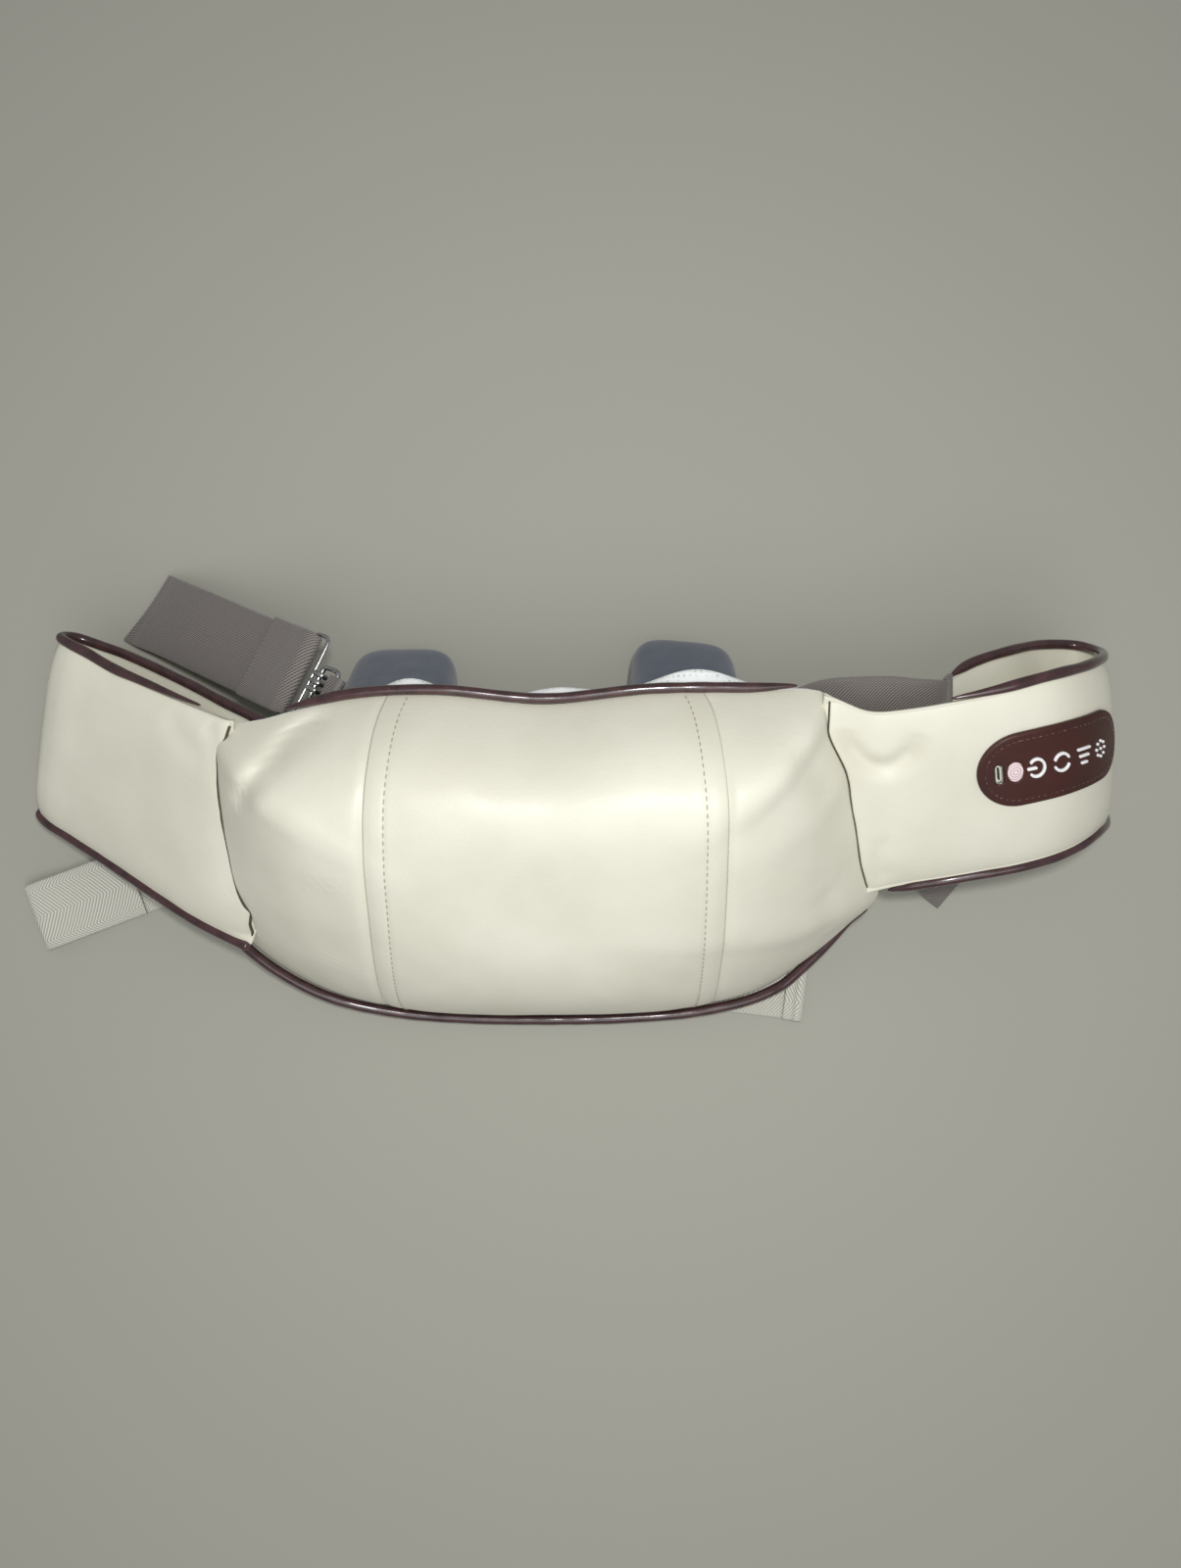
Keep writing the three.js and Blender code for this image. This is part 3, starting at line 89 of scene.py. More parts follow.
class Route:
    """A smooth curve through points, read by its length or by the number of the point."""

    def __init__(self, points, closed=False, fine=48):
        p = np.array(points, float)
        ends = (p[-1:], p[:2]) if closed else (2 * p[:1] - p[1:2], 2 * p[-1:] - p[-2:-1])
        p = np.vstack([ends[0], p, ends[1]])
        t = np.linspace(0, 1, fine, endpoint=False)[:, None]
        parts = []
        for a, b, c, d in zip(p, p[1:], p[2:], p[3:]):
            before, here, after = [max(np.linalg.norm(y - x), 1e-6) ** 0.5
                                   for x, y in ((a, b), (b, c), (c, d))]
            start = here * ((b - a) / before - (c - a) / (before + here) + (c - b) / here)
            end = here * ((c - b) / here - (d - b) / (here + after) + (d - c) / after)
            cube, square = 2 * b - 2 * c + start + end, -3 * b + 3 * c - 2 * start - end
            parts.append(cube * t ** 3 + square * t ** 2 + start * t + b)
        self.points = np.vstack(parts + [p[-2:-1]])
        self.run = np.append(0, np.cumsum(np.linalg.norm(np.diff(self.points, axis=0), axis=1)))
        self.length = self.run[-1]

    def at(self, distance):
        return np.stack([np.interp(distance, self.run, c) for c in self.points.T], -1)

    def along(self, distance):
        step = self.length / 2000
        d = np.clip(distance, step, self.length - step)
        way = self.at(d + step) - self.at(d - step)
        return way / np.linalg.norm(way, axis=-1, keepdims=True)

    def knot(self, share):
        place = np.asarray(share) * (len(self.points) - 1)
        return np.stack([np.interp(place, np.arange(len(self.points)), c) for c in self.points.T], -1)


def ripple(x, y, size, height, seed):
    """Soft irregular waves of a given size."""
    turns = random.Random(seed)
    total = 0
    for _ in range(5):
        way, phase = turns.uniform(0, 2 * math.pi), turns.uniform(0, 2 * math.pi)
        stretch = turns.uniform(0.7, 1.4)
        total = total + np.sin((x * math.cos(way) + y * math.sin(way)) * 2 * math.pi / size * stretch + phase)
    return total * height / 5


def crease(x, y, points, width, depth):
    """A soft valley along a line, fading at its two ends."""
    path = Route(points).points
    far = np.full(np.shape(x), 1e9)
    share = np.zeros(np.shape(x))
    for i, (px, py) in enumerate(path[::6]):
        d = (x - px) ** 2 + (y - py) ** 2
        near = d < far
        far = np.where(near, d, far)
        share = np.where(near, i * 6 / (len(path) - 1), share)
    fade = np.clip(np.sin(np.pi * np.clip(share, 0.02, 0.98)) * 1.6, 0, 1)
    return -depth * fade * np.exp(-far / width ** 2)


# Meshes

def unit(vectors):
    return vectors / np.maximum(np.linalg.norm(vectors, axis=-1, keepdims=True), 1e-12)


def normals_of(place, a, b):
    step = 1e-3
    a0, a1 = np.clip(a - step, 0, 1), np.clip(a + step, 0, 1)
    b0, b1 = np.clip(b - step, 0, 1), np.clip(b + step, 0, 1)
    return unit(np.cross(place(a1, b) - place(a0, b), place(a, b1) - place(a, b0)))


def finished(name, bm, material, smooth=True):
    mesh = bpy.data.meshes.new(name)
    for face in bm.faces:
        face.smooth = smooth
    bm.to_mesh(mesh)
    bm.free()
    obj = bpy.data.objects.new(name, mesh)
    bpy.context.scene.collection.objects.link(obj)
    mesh.materials.append(material)
    return obj


def carried_grid(bm, place, cells, out=None, size=(1, 1), merge=True):
    """A flat grid whose points are carried to place(a, b); its UV map is in metres."""
    made = bmesh.ops.create_grid(bm, x_segments=cells[0], y_segments=cells[1], size=0.5)["verts"]
    flat = np.array([v.co[:2] for v in made]) + 0.5
    layer = bm.loops.layers.uv.verify()
    faces = {f for v in made for f in v.link_faces}
    for face in faces:
        for loop in face.loops:
            loop[layer].uv = ((loop.vert.co.x + 0.5) * size[0], (loop.vert.co.y + 0.5) * size[1])
    for vert, point in zip(made, place(flat[:, 0], flat[:, 1])):
        vert.co = point
    if out is not None:
        half = np.array([0.5])
        if float(np.dot(normals_of(place, half, half)[0], out)) < 0:
            bmesh.ops.reverse_faces(bm, faces=list(faces))
    if merge:
        bmesh.ops.remove_doubles(bm, verts=made, dist=2e-6)


def skin(name, place, cells, out, material, wall=0, size=(1, 1)):
    """A sheet carried to a surface, with a wall behind it."""
    bm = bmesh.new()
    carried_grid(bm, place, cells, out, size)
    obj = finished(name, bm, material)
    if wall:
        solid = obj.modifiers.new("wall", "SOLIDIFY")
        solid.thickness = wall * MM
        solid.offset = -1
    return obj


def settled(obj):
    """The object's mesh with its modifiers applied."""
    bpy.context.view_layer.update()
    seen = obj.evaluated_get(bpy.context.evaluated_depsgraph_get())
    mesh = bpy.data.meshes.new_from_object(seen)
    obj.modifiers.clear()
    obj.data = mesh
    return obj


def cut(obj, *cutters):
    for cutter in cutters:
        knife = obj.modifiers.new("cut", "BOOLEAN")
        knife.operation = "DIFFERENCE"
        knife.object = cutter
        knife.solver = "EXACT"
    settled(obj)
    for cutter in cutters:
        bpy.data.objects.remove(cutter)
    return obj


def tube(name, path, radius, side, material, cells=(160, 20), swell=0, seed=1, thins=(0, 0)):
    """A cord of piping along a route in metres, closed and rounded at both ends, where it can thin out."""
    side = np.array(side, float)

    def place(a, b):
        d = a * path.length
        centre, way = path.at(d), path.along(d)
        across = unit(side - way * (way @ side)[:, None])
        other = np.cross(way, across)
        end = np.clip(np.minimum(d, path.length - d) / (radius * MM), 0, 1)
        r = radius * MM * np.sqrt(1 - (1 - end) ** 2) * (1 + ripple(d / MM, 0 * d, 17, swell, seed))
        for run, length in zip((d, path.length - d), thins):
            if length:
                r = r * (0.25 + 0.75 * np.sin(np.pi / 2 * np.clip(run / (length * MM), 0, 1)))
        turn = 2 * np.pi * b
        return centre + across * (r * np.cos(turn))[:, None] + other * (r * np.sin(turn))[:, None]

    return closed_piece(name, place, cells, material, (path.length, 2 * math.pi * radius * MM))


def stitches(name, places, material, length=2.1, thick=0.3):
    """Short threads at (point, direction) pairs, in metres."""
    bm = bmesh.new()
    for point, way in places:
        turn = Vector(way).to_track_quat("Z", "Y").to_matrix().to_4x4()
        shape = Matrix.Diagonal((thick, thick, length / 2, 1 / MM)) * MM
        bmesh.ops.create_uvsphere(bm, u_segments=6, v_segments=5, radius=1,
                                  matrix=Matrix.Translation(point) @ turn @ shape)
    return finished(name, bm, material)


def closed_piece(name, place, cells, material, size=(1, 1)):
    """A closed form: a grid carried all round it, its faces turned outwards."""
    bm = bmesh.new()
    carried_grid(bm, place, cells, size=size)
    bmesh.ops.recalc_face_normals(bm, faces=bm.faces)
    return finished(name, bm, material)


def dress(piece, body, node=None):
    """Put a piece on its body and the solid that it stands in for."""
    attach(piece, body)
    if node:
        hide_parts(node)


# Materials

def linear(colour):
    """An sRGB hex colour as linear red, green, blue and alpha."""
    parts = [int(colour[i:i + 2], 16) / 255 for i in (1, 3, 5)]
    return [p / 12.92 if p <= 0.04045 else ((p + 0.055) / 1.055) ** 2.4 for p in parts] + [1]


def add(tree, kind, settings=(), feeds=None, **links):
    """A node with its settings, the sockets that feed its inputs and the socket that it feeds."""
    made = tree.nodes.new("ShaderNode" + kind)
    for key, value in dict(settings).items():
        if key == "stops":
            for stop, (place, colour) in zip(made.color_ramp.elements, value):
                stop.position, stop.color = place, linear(colour)
        elif isinstance(key, str) and hasattr(made, key):
            setattr(made, key, value)
        else:
            made.inputs[key].default_value = value
    for key, source in links.items():
        name = int(key[1:]) if key[0] == "i" and key[1:].isdigit() else key.replace("_", " ")
        tree.links.new(source, made.inputs[name])
    if feeds:
        tree.links.new(made.outputs[0], feeds)
    return made


def material(name, **sockets):
    """A material and its shader, whose sockets are given with underscores for spaces."""
    made = bpy.data.materials.new(name)
    made.use_nodes = True
    shader = made.node_tree.nodes["Principled BSDF"]
    for key, value in sockets.items():
        key = key.replace("_", " ")
        shader.inputs[key].default_value = linear(value) if isinstance(value, str) else value
    return made, made.node_tree, shader


def per_metre(size):
    """A texture's scale for features of a size in millimetres."""
    return 1 / (size * MM)


def bands_per_metre(pitch):
    """A wave pattern's scale for straight bands that repeat at a pitch in millimetres."""
    return 0.314 / (pitch * MM)


def finish(name, kind, settings, output, tones, relief=None, space="Object", **sockets):
    """A material with one pattern, which runs between two (height, colour) tones and stands up in relief.

    The relief is its strength and its height in millimetres.
    """
    made, tree, shader = material(name, **sockets)
    pattern = add(tree, kind, settings, Vector=add(tree, "TexCoord").outputs[space]).outputs[output]
    add(tree, "ValToRGB", {"stops": tones}, shader.inputs["Base Color"], Fac=pattern)
    if relief:
        strength, height = relief
        add(tree, "Bump", {"Strength": strength, "Distance": height * MM}, shader.inputs["Normal"],
            Height=pattern)
    return made


# Polyurethane leather, embossed: soft, with a fine pebble that breaks the highlight and faint creases
def embossed_leather(name, dark, light, grain=1.3, roughness=0.46):
    made, tree, shader = material(name, Roughness=roughness, IOR=1.5, Coat_Weight=0.06, Coat_Roughness=0.35)
    place = add(tree, "TexCoord").outputs["Object"]
    # The pebble is 0.5 mm on the real leather; 1.3 mm still shows at this size.
    pebble = add(tree, "TexVoronoi", {"Scale": per_metre(grain)}, Vector=place)
    lines = add(tree, "TexNoise", {"Scale": per_metre(5), "Detail": 5, "Roughness": 0.6, "Distortion": 0.6},
                Vector=place).outputs["Fac"]
    patches = add(tree, "TexNoise", {"Scale": per_metre(45), "Detail": 3}, Vector=place).outputs["Fac"]
    add(tree, "ValToRGB", {"stops": [(0.3, dark), (0.7, light)]}, shader.inputs["Base Color"], Fac=patches)
    soft = add(tree, "Bump", {"Strength": 0.35, "Distance": 0.25 * MM}, Height=lines)
    add(tree, "Bump", {"Strength": 0.28, "Distance": 0.12 * MM}, shader.inputs["Normal"],
        Height=pebble.outputs["Distance"], Normal=soft.outputs["Normal"])
    add(tree, "MapRange", {"From Min": 0.3, "From Max": 0.7, "To Min": roughness - 0.05,
                           "To Max": roughness + 0.07}, shader.inputs["Roughness"], Value=lines)
    return made


cream_leather = embossed_leather("cream_pu_leather", "#dcd9c7", "#e5e3d2")
patch_leather = embossed_leather("brown_pu_leather", "#32110a", "#411810", grain=1.0, roughness=0.5)

# Piping: brown vinyl drawn over a cord, polished, with a faint pull in the skin
piping_vinyl = finish("piping_vinyl", "TexNoise", {"Scale": per_metre(6), "Detail": 3}, "Fac",
                      [(0.3, "#331e20"), (0.7, "#4a2e30")], (0.3, 0.3),
                      Roughness=0.24, IOR=1.52, Coat_Weight=0.4, Coat_Roughness=0.12)

# Silicone rubber, moulded matt: a dusty blue grey that scatters the light
silicone = finish("grey_silicone_rubber", "TexNoise", {"Scale": per_metre(9), "Detail": 6, "Roughness": 0.65},
                  "Fac", [(0.35, "#4a5362"), (0.7, "#586170")], (0.12, 0.15),
                  Roughness=0.52, IOR=1.43, Sheen_Weight=0.25, Sheen_Roughness=0.5)


# Woven elastic: a twill of dull polyester yarn; the ribs are 0.9 mm on the real strap, drawn 1.35 mm to show
def twill(name, dark, light, pitch):
    made, tree, shader = material(name, Roughness=0.72, IOR=1.5, Sheen_Weight=0.3, Sheen_Roughness=0.4)
    threads = add(tree, "TexCoord").outputs["UV"]
    # Diagonal bands repeat at twice the pitch of straight ones.
    ribs = add(tree, "TexWave", {"bands_direction": "DIAGONAL", "Scale": bands_per_metre(pitch / 2),
                                 "Distortion": 0.4, "Detail": 1.0, "Detail Scale": 3.0}, Vector=threads)
    yarn = add(tree, "TexWave", {"bands_direction": "Y", "Scale": bands_per_metre(0.8)}, Vector=threads)
    both = add(tree, "Math", {"operation": "MULTIPLY_ADD", 1: 0.35}, i0=yarn.outputs["Fac"],
               i2=ribs.outputs["Fac"]).outputs[0]
    add(tree, "ValToRGB", {"stops": [(0.15, dark), (1, light)]}, shader.inputs["Base Color"], Fac=both)
    add(tree, "Bump", {"Strength": 0.55, "Distance": 0.3 * MM}, shader.inputs["Normal"], Height=both)
    return made


grey_elastic = twill("grey_twill_elastic", "#4a4441", "#8a837e", 1.35)


# Herringbone webbing: cotton ribs, 1.7 mm apart, that turn back every 8.5 mm across the width
def herringbone(name, dark, light, pitch, turn):
    made, tree, shader = material(name, Roughness=0.85, Sheen_Weight=0.4, Sheen_Roughness=0.5)
    threads = add(tree, "SeparateXYZ", Vector=add(tree, "TexCoord").outputs["UV"])
    zigzag = add(tree, "Math", {"operation": "PINGPONG", 1: turn * MM}, i0=threads.outputs["Y"])
    slant = add(tree, "Math", {"operation": "ADD"}, i0=zigzag.outputs[0], i1=threads.outputs["X"])
    wave = add(tree, "Math", {"operation": "MULTIPLY", 1: 2 * math.pi / (pitch * MM)}, i0=slant.outputs[0])
    ribs = add(tree, "Math", {"operation": "SINE"}, i0=wave.outputs[0]).outputs[0]
    add(tree, "ValToRGB", {"stops": [(0, dark), (0.9, light)]}, shader.inputs["Base Color"], Fac=ribs)
    add(tree, "Bump", {"Strength": 0.7, "Distance": 0.3 * MM}, shader.inputs["Normal"], Height=ribs)
    return made


cream_webbing = herringbone("cream_herringbone_webbing", "#b9b8aa", "#e8e6da", 1.7, 8.5)


# Thread: twisted polyester, whose strands give it a light and a dark side
def twisted_thread(name, dark, light, strand=0.6, low=0.3, high=0.7, **sockets):
    return finish(name, "TexNoise", {"Scale": per_metre(strand), "Detail": 2}, "Fac",
                  [(low, dark), (high, light)], **sockets)


cream_thread = twisted_thread("cream_polyester_thread", "#97917e", "#c3bdaa", Roughness=0.6, Sheen_Weight=0.2)
# The seam's dark cord: its olive colour is painted shade of the seam's crevice, not a thread.
seam_shade_paint = twisted_thread("painted_seam_shade", "#3b382b", "#57523f", 0.8, Roughness=0.8)
white_thread = twisted_thread("white_polyester_thread", "#b7b2ae", "#e6e2de", Roughness=0.5, Sheen_Weight=0.2)
brown_thread = twisted_thread("brown_polyester_thread", "#25100c", "#b08a7b", low=0.45, high=0.75,
                              Roughness=0.6, Sheen_Weight=0.2)

# Polyester spacer mesh: pale knitted fabric with small open cells
spacer_mesh = finish("pale_spacer_mesh", "TexVoronoi", {"Scale": per_metre(2.4), "Randomness": 0.25},
                     "Distance", [(0.1, "#bcc4c3"), (0.35, "#e9ecea")], (0.8, 0.6),
                     Roughness=0.85, Sheen_Weight=0.5, Sheen_Roughness=0.4)

# Polyurethane foam: white open cells
foam = finish("white_pu_foam", "TexVoronoi", {"Scale": per_metre(1.1)}, "Distance",
              [(0.1, "#dcdad0"), (0.6, "#f4f3ec")], (0.5, 0.4), Roughness=0.95, Sheen_Weight=0.3)


# Moulded plastics and pressed powder: a faint texture from the mould
def moulded(name, dark, light, roughness, texture=0.7, **sockets):
    return finish(name, "TexNoise", {"Scale": per_metre(texture), "Detail": 3}, "Fac",
                  [(0.3, dark), (0.7, light)], (0.15, 0.05), Roughness=roughness, **sockets)


black_abs = moulded("black_moulded_abs", "#1d1f21", "#2a2c2e", 0.5, IOR=1.53)
white_key = moulded("white_key_silicone", "#eeeeec", "#fbfbfa", 0.38, 0.9, IOR=1.53)
acetal = moulded("cream_acetal", "#e2ddcd", "#ece8da", 0.35, IOR=1.53)
bronze_bush = moulded("sintered_bronze", "#a87f3f", "#c79a55", 0.42, 0.5, Metallic=1)


# Steel: turned or pressed, with fine lines that follow the tool
def tooled_steel(name, dark, light, roughness, line=0.5):
    made, tree, shader = material(name, Metallic=1.0, Roughness=roughness)
    drawn = add(tree, "Mapping", {"Scale": (0.12, 1, 1)}, Vector=add(tree, "TexCoord").outputs["Object"])
    lines = add(tree, "TexNoise", {"Scale": per_metre(line), "Detail": 4},
                Vector=drawn.outputs[0]).outputs["Fac"]
    add(tree, "ValToRGB", {"stops": [(0.3, dark), (0.7, light)]}, shader.inputs["Base Color"], Fac=lines)
    add(tree, "MapRange", {"To Min": roughness - 0.08, "To Max": roughness + 0.1}, shader.inputs["Roughness"],
        Value=lines)
    add(tree, "Bump", {"Strength": 0.1, "Distance": 0.03 * MM}, shader.inputs["Normal"], Height=lines)
    return made


turned_steel = tooled_steel("turned_steel", "#a5a8ab", "#c9ccce", 0.3)
nickel_wire = tooled_steel("nickel_plated_steel", "#9c9d9b", "#c6c7c4", 0.24, 1.5)
zinc_can = tooled_steel("zinc_plated_can", "#9ca0a4", "#bcc0c3", 0.4, 1.0)

# Printed circuit board, solder mask over copper: the tracks stand up under a glossy green skin
solder_mask = finish("green_solder_mask", "TexBrick", {"Scale": per_metre(8), "Mortar Size": 0.05}, "Fac",
                     [(0, "#1d5a39"), (1, "#2f7a4f")], (0.3, 0.05),
                     Roughness=0.35, IOR=1.5, Coat_Weight=0.3, Coat_Roughness=0.2)

# Heat-shrink sleeve over lithium cells: thin blue film with faint wrinkles
shrink_sleeve = finish("blue_shrink_sleeve", "TexNoise",
                       {"Scale": per_metre(7), "Detail": 4, "Distortion": 1.0}, "Fac",
                       [(0.3, "#244773"), (0.7, "#315a8c")], (0.4, 0.3),
                       Roughness=0.3, IOR=1.5, Coat_Weight=0.2)

# Polyimide heating film: amber, with the etched track showing through
amber_film = finish("amber_polyimide_film", "TexWave", {"Scale": bands_per_metre(6), "Distortion": 1.5},
                    "Fac", [(0.45, "#8d4f18"), (0.55, "#c9853a")], Roughness=0.28, IOR=1.6, Coat_Weight=0.3)

# Indicator: a milky pink lens with moulded rings and a glossy skin
pink_lens = finish("pink_pc_lens", "TexWave", {"Scale": bands_per_metre(1.15)}, "Fac",
                   [(0.2, "#d3a9b1"), (0.6, "#f4e8e9")], (0.4, 0.12), "UV",
                   Roughness=0.3, IOR=1.58, Coat_Weight=0.3, Coat_Roughness=0.15)

# The pod's outline, from the top middle down to the bottom middle, in shares of its half width and heights
right_shares = [
    (0, 0.94), (0.3, 0.99), (0.56, 0.995), (0.8, 0.98), (0.835, 0.84), (0.905, 0.64), (0.935, 0.475),
    (0.985, 0.2), (1.03, -0.16), (0.95, -0.35), (0.835, -0.575), (0.675, -0.795), (0.47, -0.905),
    (0.24, -0.945), (0, -0.955),
]
left_shares = [
    (0.3, 0.985), (0.53, 0.965), (0.7, 0.9), (0.82, 0.842), (0.9, 0.818), (0.948, 0.76), (0.968, 0.64),
    (0.988, 0.46), (1.008, 0.22), (1.023, -0.05), (0.98, -0.36), (0.875, -0.6), (0.7, -0.81), (0.48, -0.915),
    (0.24, -0.95),
]
# The filling draws the lower edge up a little.
drawn_share = 0.962


def outline_point(share, side):
    x, y = share
    return (side * x * HALF_WIDTH, y * (ABOVE if y > 0 else drawn_share * BELOW))


outline = Route([outline_point(s, 1) for s in right_shares]
                + [outline_point(s, -1) for s in left_shares[::-1]], closed=True)
ring = outline.points[:-1]
ring_angle = np.arctan2(ring[:, 1], ring[:, 0])
order = np.argsort(ring_angle)
ring_angle, ring_radius, ring_v = ring_angle[order], np.hypot(*ring.T)[order], ring[order, 1]


def edge_at(u, v):
    """The outline's distance from the middle, and its v, in the direction of a point."""
    angle = np.arctan2(v, u)
    return (np.interp(angle, ring_angle, ring_radius, period=2 * np.pi),
            np.interp(angle, ring_angle, ring_v, period=2 * np.pi))


# How squarely the domes turn down at their edges: the back all round, the front at its lower and upper edge
BACK_POWER, LOW_POWER, TOP_POWER = 4.0, 2.25, 7.0


def crown(u, v, height, inset, rim, even=False):
    """Height of a dome on the pod's outline: steep along the top edge, gentle towards the bottom."""
    radius, v_edge = edge_at(u, v)
    share = np.clip(np.hypot(u, v) / (radius - inset), 0, 1)
    rise = np.maximum((v_edge / ABOVE + 1) / 2, 0) ** 2
    power = BACK_POWER if even else LOW_POWER + (TOP_POWER - LOW_POWER) * rise
    return rim + (height - rim) * (1 - share ** power)


def outside_pod(u, v, w):
    """Whether points are clear of the pod's leather and of its mesh cover."""
    inside_edge = np.hypot(u, v) < edge_at(u, v)[0] - LEATHER_INSET
    front = (w >= 0) & (w < crown(u, v, DOME_HEIGHT, LEATHER_INSET, RIM))
    back = (w < 0) & (w > crown(u, v, -BACK_DEPTH, LEATHER_INSET, -RIM, even=True))
    return ~(inside_edge & (front | back))


# The two seams across the leather, and the pod's edge at their ends
seams = {
    -1: Route([(-80, -104), (-77, -66), (-73, 4), (-72, 36), (-70, 72), (-68, 84), (-63, 91),
               (-56, 101)]).points,
    1: Route([(79, -104), (78, -48), (77, -4), (76, 34), (74, 72), (71, 86), (66, 91), (58, 101)]).points,
}
SEAM_REACH = 125
middle_ring = ring[np.abs(ring[:, 0]) < SEAM_REACH]
inset_ring = middle_ring * (1 - LEATHER_INSET / np.hypot(*middle_ring.T))[:, None]
top_edge, low_edge = [half[np.argsort(half[:, 0])] for half in (inset_ring[inset_ring[:, 1] > 0],
                                                                inset_ring[inset_ring[:, 1] < 0])]


def seam_u(v, side):
    return np.interp(v, seams[side][:, 1], seams[side][:, 0])


# Creases of the pod's leather: their line, width and depth
leather_creases = [
    ([(-85, 84), (-97.5, 79.5), (-109, 71.5), (-120.5, 60.5), (-131, 45)], 4.3, 5.6),
    ([(-96, -30), (-90, 0), (-92, 30)], 10, 1.0),
    ([(98, 84), (112, 66), (122, 50)], 6, 2.0),
    ([(118, 10), (126, -8), (128, -26)], 7, 1.3),
]
SEAM_PINCH, SEAM_PINCH_WIDTH = 1.1, 3.0
STITCH_PINCH, STITCH_PINCH_WIDTH = 0.35, 0.9
GATHER_HEIGHT, GATHER_REACH, GATHER_PITCH = 0.45, 13, 7
# The leather lies tight at its edge and is slack from this height on.
SLACK_HEIGHT = 12


def leather_height(u, v):
    """The pod's leather: the dome with creases, pinched seams, soft waves and gathers at the lower edge."""
    w = crown(u, v, DOME_HEIGHT, LEATHER_INSET, RIM)
    slack = np.clip(w / SLACK_HEIGHT, 0, 1)
    for points, width, depth in leather_creases:
        w = w + crease(u, v, points, width, depth) * slack
    pinch = np.zeros(np.shape(u))
    for side, _ in SIDES:
        from_seam = u - seam_u(v, side)
        pinch = pinch - SEAM_PINCH * np.exp(-(from_seam / SEAM_PINCH_WIDTH) ** 2)
        pinch = pinch - STITCH_PINCH * np.exp(-((from_seam + side * STITCH_OFFSET) / STITCH_PINCH_WIDTH) ** 2)
    near_rim = np.clip(1 - (edge_at(u, v)[0] - np.hypot(u, v) - LEATHER_INSET) / GATHER_REACH, 0, 1)
    gathers = GATHER_HEIGHT * near_rim * ripple(u * 1.0, v * 0.2, GATHER_PITCH, 1, 31) * (v < 0)
    return w + (pinch + ripple(u, v, 60, 0.35, 3) + ripple(u, v, 23, 0.12, 5) + gathers) * slack


def centre_spread(a, b):
    """Pod u and v of the centre panel: a runs across it and b up it."""
    rise = (1 - np.cos(np.pi * b)) / 2
    low, high = np.full(np.shape(a), -BELOW), np.full(np.shape(a), ABOVE)
    for _ in range(4):
        low = np.interp(seam_u(low, -1) * (1 - a) + seam_u(low, 1) * a, low_edge[:, 0], low_edge[:, 1])
        high = np.interp(seam_u(high, -1) * (1 - a) + seam_u(high, 1) * a, top_edge[:, 0], top_edge[:, 1])
    v = low + (high - low) * rise
    return seam_u(v, -1) * (1 - a) + seam_u(v, 1) * a, v


# The centre panel's rolled edges, its lift over the side panels, and how they tuck in and bow under it
ROLL_DEPTH, ROLL_WIDTH, PANEL_LIFT = 0.75, 1.2, 0.45
TUCK_DEPTH, TUCK_WIDTH, SEAM_BOW = 0.9, 2.2, 1.5
# Folds and tucks fade out below this height, towards the pod's edge.
FOLD_HEIGHT = 6


def centre_panel(a, b):
    """The centre panel lies over the side panels, its edges rolled in."""
    u, v = centre_spread(a, b)
    fold = np.minimum(a, 1 - a) * 2 * SEAM_OFFSET
    bend = np.sqrt(np.clip(1 - (1 - np.clip(fold / ROLL_WIDTH, 0, 1)) ** 2, 0, 1))
    roll = ROLL_DEPTH * bend - ROLL_DEPTH
    w = leather_height(u, v)
    return pod_points(u, v, w + (roll + PANEL_LIFT) * np.clip(w / FOLD_HEIGHT, 0, 1))


def side_panel(side):
    """A panel from its seam to the outline, tucked in at the seam."""
    low_v = high_v = 0.0
    for _ in range(6):
        low_v = float(np.interp(seam_u(low_v if low_v else -BELOW, side), low_edge[:, 0], low_edge[:, 1]))
        high_v = float(np.interp(seam_u(high_v if high_v else ABOVE, side), top_edge[:, 0], top_edge[:, 1]))
    low_angle = math.atan2(low_v, abs(seam_u(low_v, side)))
    high_angle = math.atan2(high_v, abs(seam_u(high_v, side)))

    def place(a, b):
        bend = (1 - np.cos(np.pi * b)) / 2
        v_seam = low_v + (high_v - low_v) * bend
        u_seam = seam_u(v_seam, side) - side * SEAM_BOW * np.sin(np.pi * b)
        angle = low_angle + (high_angle - low_angle) * bend
        around = angle if side > 0 else np.pi - angle
        radius = np.interp(around, ring_angle, ring_radius, period=2 * np.pi) - LEATHER_INSET
        spread = np.sin(np.pi / 2 * a)
        u = u_seam + (radius * np.cos(around) - u_seam) * spread
        v = v_seam + (radius * np.sin(around) - v_seam) * spread
        tuck = -TUCK_DEPTH * np.exp(-(np.abs(u - u_seam) / TUCK_WIDTH) ** 2)
        w = leather_height(u, v)
        return pod_points(u, v, w + tuck * np.clip(w / FOLD_HEIGHT, 0, 1))
    return place


centre = skin("centre_front_leather", centre_panel, (200, 230), POD_OUT, cream_leather, LEATHER)
dress(centre, "pod", "centre_front_panel")
for side, name in SIDES:
    panel = skin(f"{name}_front_leather", side_panel(side), (120, 200), POD_OUT, cream_leather, LEATHER)
    dress(panel, "pod", f"{name}_front_panel")

